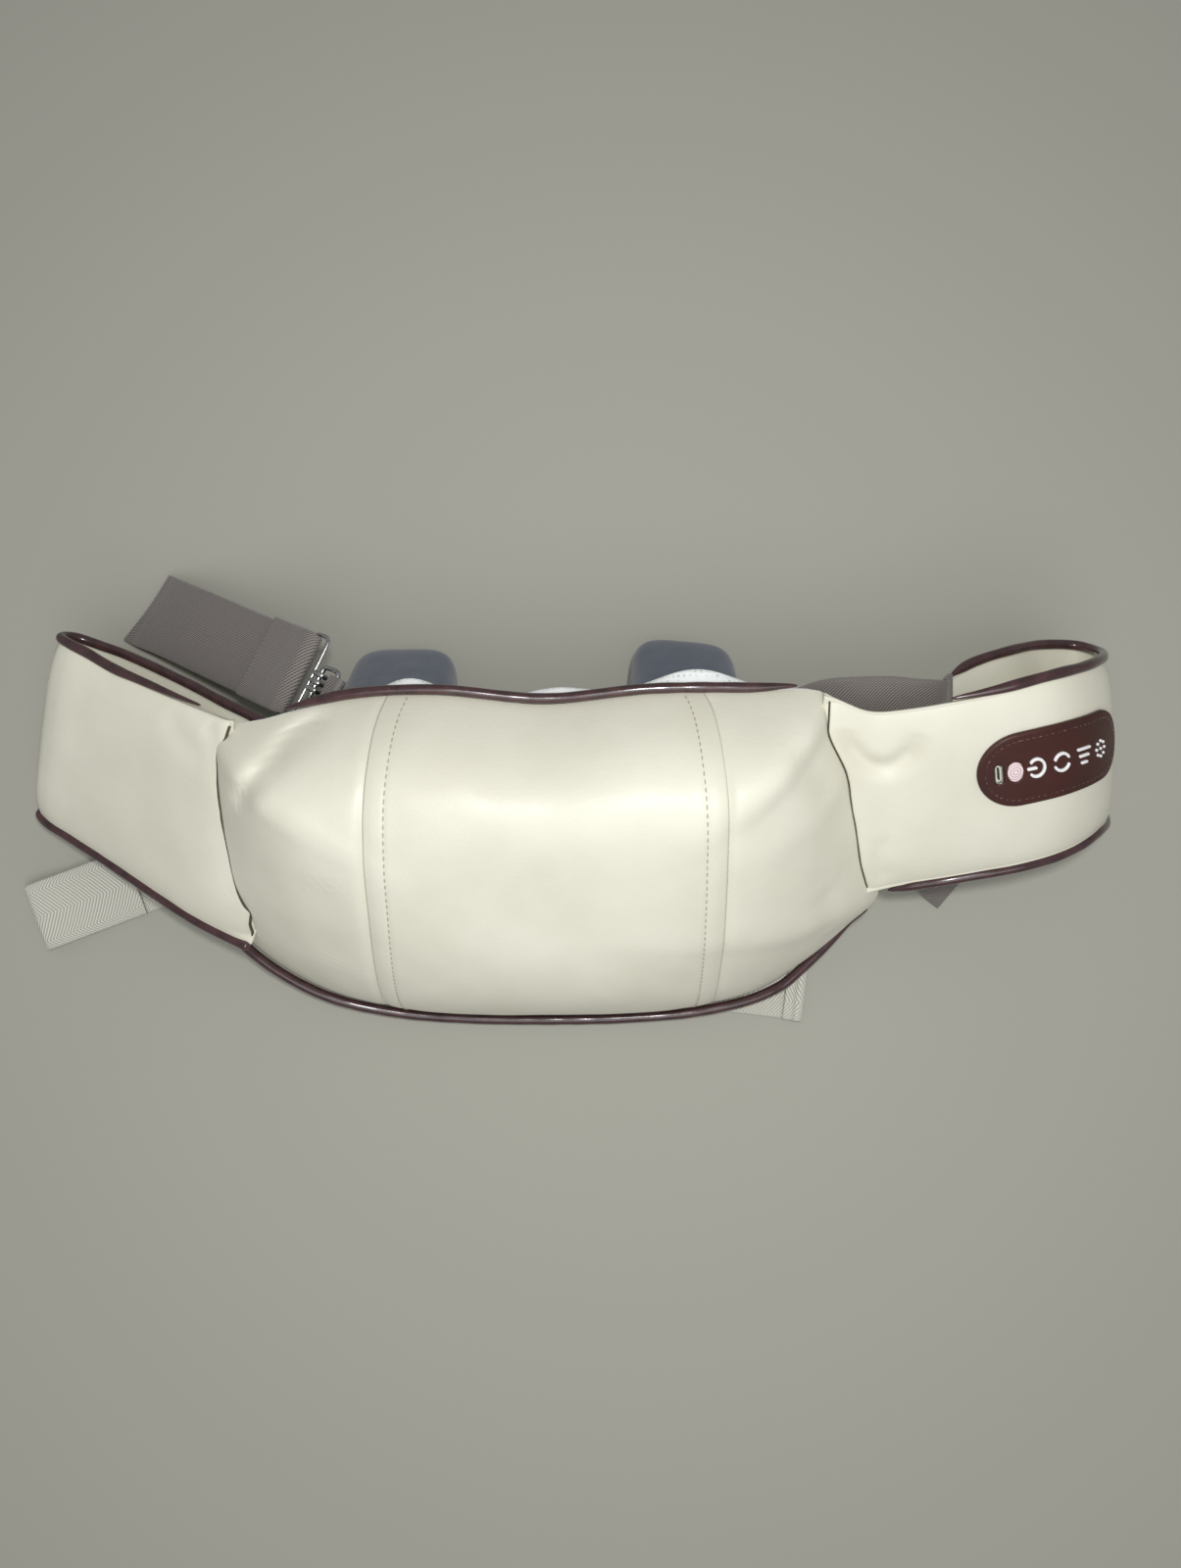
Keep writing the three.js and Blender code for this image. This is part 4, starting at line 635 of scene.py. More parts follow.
# Topstitching beside each seam, on the centre panel
STITCH_PITCH, STITCH_LENGTH, STITCH_THICKNESS, STITCH_LIFT = 3.4, 2.3, 0.3, 0.45
rows = []
for side, _ in SIDES:
    v_rows = np.linspace(-93, 94, 700)
    u_rows = seam_u(v_rows, side) - side * STITCH_OFFSET
    keep = np.hypot(u_rows, v_rows) < edge_at(u_rows, v_rows)[0] - LEATHER_INSET - 0.15
    row = Route(np.stack([u_rows, v_rows, leather_height(u_rows, v_rows) + STITCH_LIFT], 1)[keep], fine=2)
    for d in np.arange(4, row.length - 1.5, STITCH_PITCH):
        here, way = row.at(d), row.along(d)
        beside = [leather_height(np.array([here[0] + x]), np.array([here[1]]))[0] for x in (-1.0, 1.0)]
        outwards = unit(np.cross(np.array([2, 0, beside[1] - beside[0]]), way))
        spot = here + outwards * (STITCH_THICKNESS if outwards[2] > 0 else -STITCH_THICKNESS)
        rows.append((Vector(pod_points(*spot)), Vector(pod_points(*(spot + way)) - pod_points(*spot))))
dress(stitches("topstitching", rows, cream_thread, STITCH_LENGTH, STITCH_THICKNESS), "pod")


# Padding, mesh cover and back padding as whole domes
FOAM_INSET, FOAM_BELOW, FOAM_WALL = 4.5, 2.3, 7.4
MESH_WALL = 1.6
BACK_FOAM_TOP, BACK_FOAM_DEPTH = -4.4, -19.9


def from_middle(a, share, inset):
    """Pod u and v at turn a, at a share of the way from the middle to the outline less an inset."""
    angle = 2 * np.pi * a - np.pi
    radius = np.interp(angle, ring_angle, ring_radius, period=2 * np.pi) - inset
    return radius * share * np.cos(angle), radius * share * np.sin(angle)


def opening_cutter(side):
    """A cylinder through the back, round a rotor."""
    bm = bmesh.new()
    place = (Matrix.Translation(Vector(pod_points(side * ROTOR_U, ROTOR_V, -15)))
             @ Matrix.Rotation(TILT, 4, "X"))
    bmesh.ops.create_cone(bm, cap_ends=True, segments=72, radius1=OPENING_RADIUS * MM,
                          radius2=OPENING_RADIUS * MM, depth=0.06, matrix=place)
    return finished("cutter", bm, foam)


def front_foam_place(a, b):
    u, v = from_middle(a, np.sin(np.pi / 2 * b), FOAM_INSET)
    return pod_points(u, v, np.maximum(leather_height(u, v) - FOAM_BELOW, 0.1))


# The heads and the arms between them push the mesh out along the top: where, how wide and how far
mesh_bulges = [(-57, 19, 12.5), (5, 24, 11.8), (65, 28, 15.5)]


def mesh_place(a, b):
    u, v = from_middle(a, np.sin(np.pi / 2 * b), LEATHER_INSET)
    w = crown(u, v, -BACK_DEPTH, LEATHER_INSET, -RIM, True)
    for middle, width, reach in mesh_bulges:
        near = np.exp(-((u - middle) / width) ** 2) * np.exp(-((w + 8) / 6) ** 2)
        v = v + reach * near * np.clip(v / 60, 0, 1) ** 3
    return pod_points(u, v, w)


def back_foam_place(a, b):
    """The back padding's closed skin: out along its flat top and back along its dome."""
    inset, flat_top, depth = LEATHER_INSET + MESH_WALL + 0.2 + RIM, BACK_FOAM_TOP, BACK_FOAM_DEPTH
    turn_at = 0.4
    rim_share = (1 - (flat_top + RIM) / (depth + RIM)) ** 0.25
    inwards = np.cos(np.pi / 2 * np.clip((b - turn_at) / (1 - turn_at), 0, 1))
    u, v = from_middle(a, np.where(b < turn_at, b / turn_at * rim_share, rim_share * inwards), inset)
    dome = np.minimum(crown(u, v, depth, inset, -RIM, True), flat_top)
    return pod_points(u, v, np.where(b < turn_at, flat_top, dome))


padding = skin("front_foam", front_foam_place, (150, 70), POD_OUT, foam, FOAM_WALL)
dress(padding, "pod", "front_padding")
cover = skin("mesh_back", mesh_place, (220, 90), -POD_OUT, spacer_mesh, MESH_WALL)
cut(cover, opening_cutter(-1), opening_cutter(1))
dress(cover, "pod", "mesh_back_cover")
back_foam = closed_piece("back_foam", back_foam_place, (120, 60), foam)
cut(back_foam, opening_cutter(-1), opening_cutter(1))
dress(back_foam, "pod", "back_padding")


def hem_place_round(side):
    """The cover's rolled hem round an opening, bound with thread."""
    out = np.array(POD_OUT)
    turn = np.linspace(0, 2 * np.pi, 73)[:-1]
    reach = OPENING_RADIUS + 0.4
    u, v = side * ROTOR_U + reach * np.cos(turn), ROTOR_V + reach * np.sin(turn)
    w = crown(u, v, -BACK_DEPTH + 0.4, LEATHER_INSET, -RIM, True)
    path = Route(pod_points(u, v, w), closed=True, fine=6)

    def place(a, b):
        centre = path.knot(a)
        way = unit(np.cross(out, centre - pod_points(side * ROTOR_U, ROTOR_V, 0)))
        side_way = unit(np.cross(way, out))
        r = (1.3 + 0.25 * np.sin(a * 2 * np.pi * 90)) * MM
        turn = 2 * np.pi * b
        return centre + side_way * (r * np.cos(turn))[:, None] + out * (r * np.sin(turn))[:, None]
    return place


for side, name in SIDES:
    hem = closed_piece(f"{name}_opening_hem", hem_place_round(side), (360, 10), spacer_mesh)
    dress(hem, "pod")

# Piping on the pod's edges, from one share of the outline's length to another; thins are its tapered ends
for name, start, end, radius, outwards, thins in (("top", 0.868, 1.128, PIPING_RADIUS, 0, (24, 24)),
                                                  ("bottom", 0.29, 0.705, PIPING_RADIUS * 1.1, 2.7, (0, 0))):
    flat = outline.at(np.linspace(start, end, 60) % 1 * outline.length)
    # Beyond the seams the leather hangs over the lower piping, and it draws in under it.
    under = np.clip((flat[:, :1] - 112) / 30, 0, 1) * (name == "bottom")
    flat = flat * (1 - 0.03 * under + outwards / np.hypot(*flat.T)[:, None])
    path = Route(pod_points(flat[:, 0], flat[:, 1], -3.5 * under[:, 0]), fine=8)
    cord = tube(f"{name}_edge_piping", path, radius, POD_OUT, piping_vinyl, (420, 20), 0.05, 11, thins)
    dress(cord, "pod", f"pod_{name}_piping")

# Hand loops: hairpin bands of padded leather on the pod's ends
# For these, d is a distance along the loop and s a share of its half width, upwards from its middle.
ARM_WIDTH = 85.0
ARM_LEATHER = 1.2
HALF_ARM = ARM_WIDTH / 2


def eased(share, knots, values):
    """A table read with its corners rounded."""
    return sum(np.interp(share + step, knots, values) for step in np.linspace(-0.03, 0.03, 7)) / 7


class Arm:
    """A loop of leather: a path in the loop's own plane, its width across it and its root on the pod.

    flare says how far the upper edge spreads and how far the lower edge draws in, along the loop.
    """

    def __init__(self, side, length, depth, rise, root, flare, shares):
        self.side, self.rise, self.root, self.flare = side, math.radians(rise), root, flare
        self.path = Route([(a * length, b * HALF_ARM, c * depth) for a, b, c in shares])
        # The left loop goes on a little further under the pod.
        self.reach = self.path.length + (10 if side < 0 else 0)
        self.out = Vector(self.surface(np.array([self.path.length * 0.5]), 0, 1)[0]
                          - self.surface(np.array([self.path.length * 0.5]), 0, 0)[0])

    def in_pod(self, distance, across, lift):
        """Pod u, v and w of a place along, across and off the loop; its path goes on past its ends."""
        way = self.path.along(distance)
        length = self.path.length
        beyond = np.minimum(distance, 0)[..., None] * self.path.along(0.0)
        beyond = beyond + np.maximum(distance - length, 0)[..., None] * self.path.along(length)
        point = self.path.at(distance) + beyond
        normal = unit(np.stack([-way[..., 2], 0 * way[..., 0], way[..., 0]], -1))
        local = point + normal * np.asarray(lift)[..., None] * np.ones(np.shape(point))
        upper = np.clip((across / HALF_ARM + 1) / 2, 0, 1.1) ** 1.6
        lower = np.clip((1 - across / HALF_ARM) / 2 - 0.35, 0, 0.7) / 0.65
        raised, drawn = self.flare(distance / length)
        along, up = local[..., 0], local[..., 2]
        over = local[..., 1] + across + raised * upper + drawn * lower
        u = self.root[0] + self.side * (along * math.cos(self.rise) - over * math.sin(self.rise))
        v = self.root[1] + along * math.sin(self.rise) + over * math.cos(self.rise)
        return u, v, self.root[2] + up

    def surface(self, distance, across, lift):
        return pod_points(*self.in_pod(distance, across, lift))

    def root_line(self, across, start):
        """Where the leather's sewn root lies at the least, for each share of the loop's half width."""
        if self.side < 0:
            # Inwards to 4.5 mm before the path's start, softly, and 31 mm out at the upper corner
            start = 2.5 * np.logaddexp(start / 2.5, -4.5 / 2.5)
            return np.maximum(start, 31 * np.clip((across - 0.62) / 0.14, 0, 1))
        upper = 6.5 * np.clip((across - 0.35) / 0.65, 0, 1)
        lower = 9 * np.clip((-across - 0.75) / 0.2, 0, 1) ** 2
        return np.maximum(np.maximum(start, upper), lower)

    def limits(self, lift_of, tuck=1.5):
        """Where a layer leaves the pod and where it comes back to it, for each share of the half width."""
        across = np.linspace(-1.1, 1.1, 89)
        steps = np.arange(-16, self.reach, 0.4)
        grid_d, grid_s = np.meshgrid(steps, across, indexing="ij")
        free = outside_pod(*self.in_pod(grid_d, grid_s * HALF_ARM, lift_of(grid_s)))
        half = int(np.searchsorted(steps, self.path.length / 2))
        held = (~free[:half]).any(axis=0)
        last_held = [steps[np.where(~free[:half, i])[0].max()] for i in np.where(held)[0]]
        start = np.interp(across, across[held], last_held)
        end = [steps[half + np.where(~free[half:, i])[0].min()] if (~free[half:, i]).any() else self.reach
               for i in range(len(across))]

        def smooth(values):
            return np.convolve(np.pad(np.array(values, float), 2, mode="edge"), np.ones(5) / 5, mode="valid")

        start = self.root_line(across, smooth(start) - tuck)
        end = smooth(end) + tuck * 0.5
        return (lambda s: np.interp(s, across, start),
                lambda s: np.minimum(np.interp(s, across, end), self.reach))


def left_flare(share):
    knots = [0, 0.12, 0.3, 0.41, 0.5, 0.62, 0.8, 1]
    return eased(share, knots, [24, 19, 12, 8.5, 9, 4, 7, 12]), 0 * share


def right_flare(share):
    upper_knots = [0, 0.035, 0.05, 0.068, 0.09, 0.12, 0.28, 0.38, 0.55, 0.65, 0.82, 0.9, 0.94, 1]
    upper = eased(share, upper_knots, [15, 14, 9, 3.5, 0, -1, 0, 4, 3.5, 0, 0, -4, -7, -9])
    lower_knots = [0, 0.1, 0.2, 0.3, 0.4, 0.5, 0.6, 0.75]
    return upper, eased(share, lower_knots, [-4, -3, -1, 0, 4, 7, 5, 0])


arms = {
    "left": Arm(-1, 90, 56, 18.5, (-HALF_WIDTH * 0.98, ABOVE * 0.2, DOME_HEIGHT * 0.13), left_flare, [
        (-0.3, 0, 0.16), (0, 0, 0), (0.24, 0, -0.19), (0.52, 0, -0.43), (0.78, 0, -0.64), (0.94, 0, -0.77),
        (1, 0, -0.88), (0.95, 0, -0.99), (0.8, 0, -1), (0.58, 0, -0.88), (0.34, 0, -0.69), (0.12, 0, -0.47),
        (-0.04, 0, -0.33)]),
    "right": Arm(1, 106, 58, 13, (HALF_WIDTH * 0.99, ABOVE * 0.456, DOME_HEIGHT * 0.15), right_flare, [
        (-0.26, -0.02, -0.01), (0, 0, 0), (0.2, 0.01, 0.06), (0.4, 0, 0.08), (0.53, -0.03, 0.07),
        (0.66, -0.09, 0.02), (0.775, -0.17, -0.095), (0.885, -0.28, -0.29), (0.965, -0.4, -0.53),
        (1, -0.47, -0.79), (0.95, -0.46, -0.98), (0.8, -0.36, -0.98), (0.62, -0.22, -0.8),
        (0.42, -0.08, -0.64), (0.24, 0, -0.4)]),
}
right = arms["right"]
PATCH_ACROSS, PATCH_WIDTH, PATCH_LIFT, PATCH_THICKNESS = 8.0, 35.0, 3.9, 1.6
patch_start, patch_end = 0.243 * right.path.length, 0.532 * right.path.length
# Creases of each loop's leather, along and across it: their line, width and depth
arm_creases = {
    "left": [([(66, 38), (50, 30), (36, 26)], 6, 1.0), ([(44, 40), (38, 36), (34, 20)], 4, 0.8),
             ([(10, -24), (18, -10), (26, 8)], 5, 0.7)],
    "right": [([(12, 34), (15, 25), (21, 19), (30, 18), (38, 23), (44, 34)], 4.6, 2.8),
              ([(22, -40), (20, -28), (24, -14)], 4, 0.9)],
}
# The loops' leather closes over its padding a little beyond the half width.
CLOSING_SHARE = 1.018
# A stretch outwards from the pod's end, and a lift; its end points are worked out, but the pieces are only
# baked in place, not turned with it
BLEND_START, BLEND_END, BLEND_LIFT = 139, 172, 5
# Half the loop's thickness at its edges and along its middle
EDGE_HALF, MIDDLE_HALF = 0.5, 3.6


def swell(share):
    """Half the loop's thickness across its width."""
    return EDGE_HALF + (MIDDLE_HALF - EDGE_HALF) * (1 - np.minimum(np.abs(share), 1) ** 5)


def front_lift(name, d, across):
    """How far a loop's outer leather stands off its middle surface."""
    s = across / HALF_ARM
    lift = swell(s) + ripple(d, across, 34, 0.35, 9) * (1 - s ** 4)
    for points, width, depth in arm_creases[name]:
        lift = lift + crease(d, across, points, width, depth)
    return lift


def root_dip(name, s, past):
    """How far a loop's leather turns down into its seam, past being the distance from the seam."""
    low = np.clip((-s - 0.5) / 0.4, 0, 1) * np.clip((1.05 + s) / 0.12, 0, 1) * (name == "left")
    return (2.6 + 2.4 * low) * np.exp(-past / (1.8 + 2.2 * low))


def blend_with_pod(piece, side, name, v):
    start, end = [tuple(pod_points(side * u, v, BLEND_LIFT)) for u in (BLEND_START, BLEND_END)]
    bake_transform(piece)


def band_share(b):
    """The share of the half width at b, closer together towards the edges."""
    return CLOSING_SHARE * np.sin(np.pi * (b - 0.5))


def outer_place(name, arm, start, end):
    def place(a, b):
        s = band_share(b)
        d = start(s) + (end(s) - start(s)) * a
        lift = front_lift(name, d, s * HALF_ARM) - root_dip(name, s, d - start(s))
        return arm.surface(d, s * HALF_ARM, lift)
    return place


def inner_place(arm, start, end):
    def place(a, b):
        s = band_share(b)
        d = start(s) + (end(s) - start(s)) * a
        return arm.surface(d, s * HALF_ARM, -swell(s) + ripple(d, s * HALF_ARM, 30, 0.3, 19) * (1 - s ** 4))
    return place


def beneath_patch(d, across):
    """1 under the control patch, where the switches take the padding's room, and 0 away from it."""
    return (np.clip(np.minimum(d - patch_start + 6, patch_end + 6 - d) / 4, 0, 1)
            * np.clip((PATCH_WIDTH / 2 + 4 - np.abs(across - PATCH_ACROSS)) / 4, 0, 1))


def loop_foam_place(name, arm, start, end):
    def place(a, b):
        """Once round the padding's section at b, and along the loop at a."""
        s, depth = 0.97 * np.cos(2 * np.pi * b), np.sin(2 * np.pi * b)
        ends = np.clip(np.minimum(a, 1 - a) * 40, 0, 1)
        first, last = start(s * 0.9) + 4, end(s * 0.9) - 3
        d, across = first + (last - first) * a, s * HALF_ARM * (0.9 + 0.1 * ends)
        upper = front_lift(name, d, across) - ARM_LEATHER - 0.5
        if name == "right":
            upper = upper + (0.8 - upper) * beneath_patch(d, across)
        under = -np.maximum(swell(s) - ARM_LEATHER - 0.5, 0.1)
        bulge = np.minimum(np.abs(depth) * 3, 1) * np.where(depth > 0, upper, under)
        return arm.surface(d, across, bulge * ends)
    return place


# Where a loop's piping shows, from one distance along it to another, and how long its two ends taper
piping_ends = {
    ("left", 1): (48, arms["left"].reach, (60, 0)),
    ("right", 1): (57, 247, (30, 10)),
    ("right", -1): (22, right.reach, (12, 0)),
}


def loop_piping(name, arm, edge, edge_name):
    """A loop's piping, from where it comes out of the pod's seam to where it goes back in."""
    first_shown, last_shown, thins = piping_ends.get((name, edge), (0, arm.reach, (0, 0)))
    offset = HALF_ARM + PIPING_RADIUS + 0.2
    place = np.array([edge * offset / HALF_ARM])
    first, last = [float(limit(place)[0]) for limit in arm.limits(lambda s: 0 * s, 3)]
    d = np.linspace(max(first, first_shown), min(last, last_shown), 90)
    across_way = Vector(arm.surface(np.array([60.0]), 1, 0)[0] - arm.surface(np.array([60.0]), 0, 0)[0])
    path = Route(arm.surface(d, edge * offset, 0), fine=6)
    return tube(f"{name}_loop_{edge_name}_piping", path, PIPING_RADIUS, across_way, piping_vinyl, (420, 20),
                0.05, 21 + edge, thins)


def seam_shadow_cord(name, arm, start):
    """A dark cord in a loop's seam whose colour is painted shade of the crevice, set nearer to the left
    loop's corners.
    """
    s = np.linspace(-0.96, 0.985, 90)
    slope = np.gradient(start(s), s * HALF_ARM)
    nearer = 0.5 * np.clip((np.abs(s) - 0.76) / 0.12, 0, 1) if name == "left" else 0
    past = 2.1 * np.sqrt(1 + np.minimum(slope ** 2, 5)) * (1 - nearer)
    d = start(s) + past
    lift = front_lift(name, d, s * HALF_ARM) - root_dip(name, s, past) + 0.35
    return tube(f"{name}_loop_seam_shade", Route(arm.surface(d, s * HALF_ARM, lift), fine=6),
                0.65 if name == "left" else 0.42, tuple(arm.out), seam_shade_paint, (200, 10))


for name, arm in arms.items():
    outer, inner = arm.limits(swell), arm.limits(lambda s: -swell(s))
    front = skin(f"{name}_loop_leather", outer_place(name, arm, *outer), (240, 90), arm.out, cream_leather,
                 ARM_LEATHER)
    lining = skin(f"{name}_loop_lining", inner_place(arm, *inner), (240, 90), -arm.out, cream_leather,
                  ARM_LEATHER)
    padding = closed_piece(f"{name}_loop_foam", loop_foam_place(name, arm, *inner), (120, 48), foam)
    made = [(settled(front), f"{name}_arm_leather", "cream_leather"),
            (settled(lining), f"{name}_arm_lining", "cream_leather"),
            (padding, f"{name}_arm_padding", "white_foam")]
    for edge, edge_name in ((1, "top"), (-1, "bottom")):
        cord = loop_piping(name, arm, edge, edge_name)
        made.append((cord, f"{name}_arm_{edge_name}_piping", "brown_piping"))
    # A dark cord along the seam, coloured as painted shade of its crevice
    seam = seam_shadow_cord(name, arm, outer[0])
    blend_with_pod(seam, arm.side, name, 18)
    for piece, node, slot in made:
        blend_with_pod(piece, arm.side, name, 18)
        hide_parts(node)

# Controls on the right loop: the patch, its keys, the charging socket and the indicator
PATCH_TOP = PATCH_LIFT + PATCH_THICKNESS
PATCH_STITCH_INSET = 3.2
KEY_TRAVEL = 0.5
KEY_FOOT, KEY_BASE_TOP, KEY_BASE_RADIUS = 2.3, 3.1, 5.2
WINDOW_GAP = 0.3
WINDOW_LOW, WINDOW_HIGH = 1.5, PATCH_TOP + 3
ICON_RADIUS, STROKE = 4.5, 1.3
LENS_RADIUS, LENS_TALL = 3.1, 1.5
SOCKET_HALF, SOCKET_LONG = 1.75, 9.2
keys = ("power", "mode", "level", "heat")
patch_long, patch_middle = patch_end - patch_start, (patch_start + patch_end) / 2
# Places of the controls along the loop, as shares of its length
control_shares = {"socket": 0.276, "lens": 0.301, "power": 0.334, "mode": 0.375, "level": 0.418,
                  "heat": 0.462}
control_places = {name: share * right.path.length for name, share in control_shares.items()}


def on_patch(distance, across, lift):
    return right.surface(distance, PATCH_ACROSS + across, lift)


def across_patch(middle):
    """A place function for a slab that lies across the patch."""
    return lambda x, y, lift: on_patch(middle - y, x, lift)


def rounded_slab(place, long, half, low, high, edge):
    """A closed strip with round ends: place(along, across, lift); edge rounds its rim."""
    quarter, straight = half * np.pi / 2, long - 2 * half

    def surface(a, b):
        d = a * (2 * quarter + straight)
        first = np.clip(d / half, 0, np.pi / 2)
        last = np.clip((2 * quarter + straight - d) / half, 0, np.pi / 2)
        reach = half * np.minimum(np.sin(first), np.sin(last))
        along = np.clip(d - quarter, 0, straight) - straight / 2 - half * np.cos(first) + half * np.cos(last)
        into = np.clip(np.abs(along) - straight / 2, 0, half)
        turn = 2 * np.pi * b
        flat = np.clip(np.abs(np.cos(turn)) * 1.25, 0, 1) * np.sign(np.cos(turn))
        top = np.sin(turn) > -1e-9
        across = reach * flat
        to_rim = np.minimum(half - np.hypot(into, across), reach - np.abs(across) + 1e-9)
        rim = np.clip(to_rim / max(edge, 1e-6), 0, 1)
        drop = edge * (1 - np.sqrt(1 - (1 - rim) ** 2))
        return place(along, across, np.where(top, high - drop, low))
    return surface


def closed_slab(name, place, long, half, low, high, edge, cells, material):
    return closed_piece(name, rounded_slab(place, long, half, low, high, edge), cells, material)


patch = closed_slab("control_panel_leather", lambda x, y, lift: on_patch(patch_middle + x, y, lift),
                    patch_long, PATCH_WIDTH / 2, PATCH_LIFT - 0.2, PATCH_TOP, 0.8, (150, 120), patch_leather)


def stroke(points, half):
    """A symbol's stroke: a line of points with round ends, half as wide as given."""
    return Route(points, fine=12), half


def arc(from_turn, to_turn, radius=ICON_RADIUS - STROKE / 2):
    turns = np.linspace(from_turn, to_turn, 24)
    return stroke([(radius * math.cos(t), radius * math.sin(t)) for t in turns], STROKE / 2)


symbols = {
    "power": [arc(0.8, 2 * math.pi - 0.8), stroke([(0.4, 0), (2.2, 0), (ICON_RADIUS - 0.4, 0)], STROKE / 2)],
    "mode": [arc(0.45, 2.65), arc(math.pi + 0.45, math.pi + 2.65)],
    "level": [stroke([(-x * ICON_RADIUS + 0.6, y), (0, y), (x * ICON_RADIUS - 0.6, y)], STROKE / 2)
              for y, x in ((-0.72 * ICON_RADIUS, 0.5), (0, 0.75), (0.72 * ICON_RADIUS, 1))],
    "heat": [stroke([(x - 0.1, y), (x, y), (x + 0.1, y)], 0.75) for x, y in
             [(0, 0)] + [(3.75 * math.cos(t), 3.75 * math.sin(t)) for t in np.arange(8) * math.pi / 4]],
}
# The symbols are printed a little narrower along the loop and taller across it.
SYMBOL_LONG, SYMBOL_TALL = 0.86, 1.08


def stroke_slab(bm, route, half, centre, low, high, edge):
    """One stroke, raised on the patch at centre: local x runs towards the pod."""
    def place(along, across, lift):
        middle = route.length / 2
        d = np.clip(along + middle, 0, route.length)
        beyond = along + middle - d
        point, way = route.at(d), route.along(d)
        x = point[:, 0] + way[:, 0] * beyond - way[:, 1] * across
        y = point[:, 1] + way[:, 1] * beyond + way[:, 0] * across
        return on_patch(centre - SYMBOL_LONG * x, SYMBOL_TALL * y, lift)
    cells = (48 if route.length > 4 else 20, 20)
    carried_grid(bm, rounded_slab(place, route.length + 2 * half, half, low, high, edge), cells)


def strokes_piece(name, strokes, key, grow, low, high, edge, material):
    bm = bmesh.new()
    for route, half in strokes:
        stroke_slab(bm, route, half + grow, control_places[key], low, high, edge)
    bmesh.ops.recalc_face_normals(bm, faces=bm.faces)
    return finished(name, bm, material)


def disc_place(centre, radius, low, high, dome, tall=1):
    """A closed round button: b runs out over its face, down its rim and back under it."""
    def place(a, b):
        turn = 2 * np.pi * a
        out = np.interp(b, [0, 0.6, 0.8, 1], [0, 1, 1, 0])
        lift = np.interp(b, [0, 0.6, 0.8, 1], [high, high, low, low]) + dome * (1 - out ** 2) * (b < 0.6)
        return on_patch(centre + radius * out * np.cos(turn), tall * radius * out * np.sin(turn), lift)
    return place


def windows():
    """Cutters for the holes in the patch: one for each stroke, the lens and the socket."""
    for key in keys:
        for one in symbols[key]:
            yield strokes_piece("window", [one], key, WINDOW_GAP, WINDOW_LOW, WINDOW_HIGH, 0, patch_leather)
    hole = disc_place(control_places["lens"], LENS_RADIUS + 0.25, WINDOW_LOW, WINDOW_HIGH, 0,
                      LENS_TALL - 0.02)
    yield closed_piece("window", hole, (40, 10), patch_leather)
    yield closed_slab("window", across_patch(control_places["socket"]), SOCKET_LONG + 2 * WINDOW_GAP,
                      SOCKET_HALF + WINDOW_GAP, WINDOW_LOW, WINDOW_HIGH, 0, (40, 24), patch_leather)


cut(patch, *windows())
dress(patch, "right_arm", "control_patch")
for key in keys:
    symbol = strokes_piece(f"{key}_symbol", symbols[key], key, 0, KEY_FOOT, PATCH_TOP + KEY_TRAVEL, 0.3,
                           white_key)
    dress(symbol, f"{key}_button", f"{key}_key")
    foot = disc_place(control_places[key], KEY_BASE_RADIUS, KEY_FOOT, KEY_BASE_TOP, 0)
    base = closed_piece(f"{key}_key_base", foot, (40, 12), white_key)
    dress(base, f"{key}_button")

# The lens, whose rings follow the distance from its middle
bm = bmesh.new()
face_place = disc_place(control_places["lens"], LENS_RADIUS, 1.7, PATCH_TOP + 0.1, 0.25, LENS_TALL)
carried_grid(bm, face_place, (48, 30))
layer = bm.loops.layers.uv.verify()
middle = Vector(on_patch(np.array([control_places["lens"]]), 0, PATCH_TOP)[0])
for face in bm.faces:
    for loop in face.loops:
        loop[layer].uv = ((loop.vert.co - middle).length, 0)
bmesh.ops.recalc_face_normals(bm, faces=bm.faces)
lens = finished("indicator_window", bm, pink_lens)
dress(lens, "right_arm", "indicator_lens")


def socket_shell(a, b):
    """The socket's rounded sleeve: outside up, over its rim, down inside and across its floor."""
    turn = 2 * np.pi * a
    stations = [0, 0.3, 0.36, 0.42, 0.8, 1]
    wall = np.interp(b, stations, [0, 0, 0.2, 0.4, 0.4, SOCKET_HALF])
    lift = np.interp(b, stations, [1.7, PATCH_TOP - 0.1, PATCH_TOP, PATCH_TOP - 0.1, 2.5, 2.5])
    half = SOCKET_HALF - wall
    x = half * np.cos(turn)
    straight = SOCKET_LONG / 2 - SOCKET_HALF
    y = half * np.sin(turn) + straight * np.sign(np.sin(turn)) * np.minimum(np.abs(np.sin(turn)) * 6, 1)
    return on_patch(control_places["socket"] - x, y, lift)


socket = closed_piece("charging_socket_shell", socket_shell, (64, 30), nickel_wire)
dress(socket, "right_arm", "usb_c_socket")
tongue = closed_slab("charging_socket_tongue", across_patch(control_places["socket"]), 5.7, 0.35, 2.4,
                     PATCH_TOP - 0.5, 0.1, (20, 12), black_abs)
dress(tongue, "right_arm")

# Stitches round the patch
rows = []
inset = PATCH_WIDTH / 2 - PATCH_STITCH_INSET
straight = patch_long / 2 - PATCH_WIDTH / 2
rim_points = []
for way in (1, -1):
    rim_points += [(x, way * inset) for x in np.arange(-way * straight, way * straight, 2 * way)]
    rim_points += [(way * (straight + inset * math.sin(t)), way * inset * math.cos(t))
                   for t in np.linspace(0, math.pi, 22)]
rim = Route(rim_points, closed=True, fine=8)
for d in np.arange(0, rim.length, 2.6):
    p, q = rim.at(d), rim.at(min(d + 1.4, rim.length))
    ends = on_patch(patch_middle + np.array([p[0], q[0]]), np.array([p[1], q[1]]), PATCH_TOP - 0.02)
    rows.append((Vector(ends[0] + ends[1]) / 2, Vector(ends[1] - ends[0])))
dress(stitches("patch_stitching", rows, brown_thread, 1.7, 0.24), "right_arm")

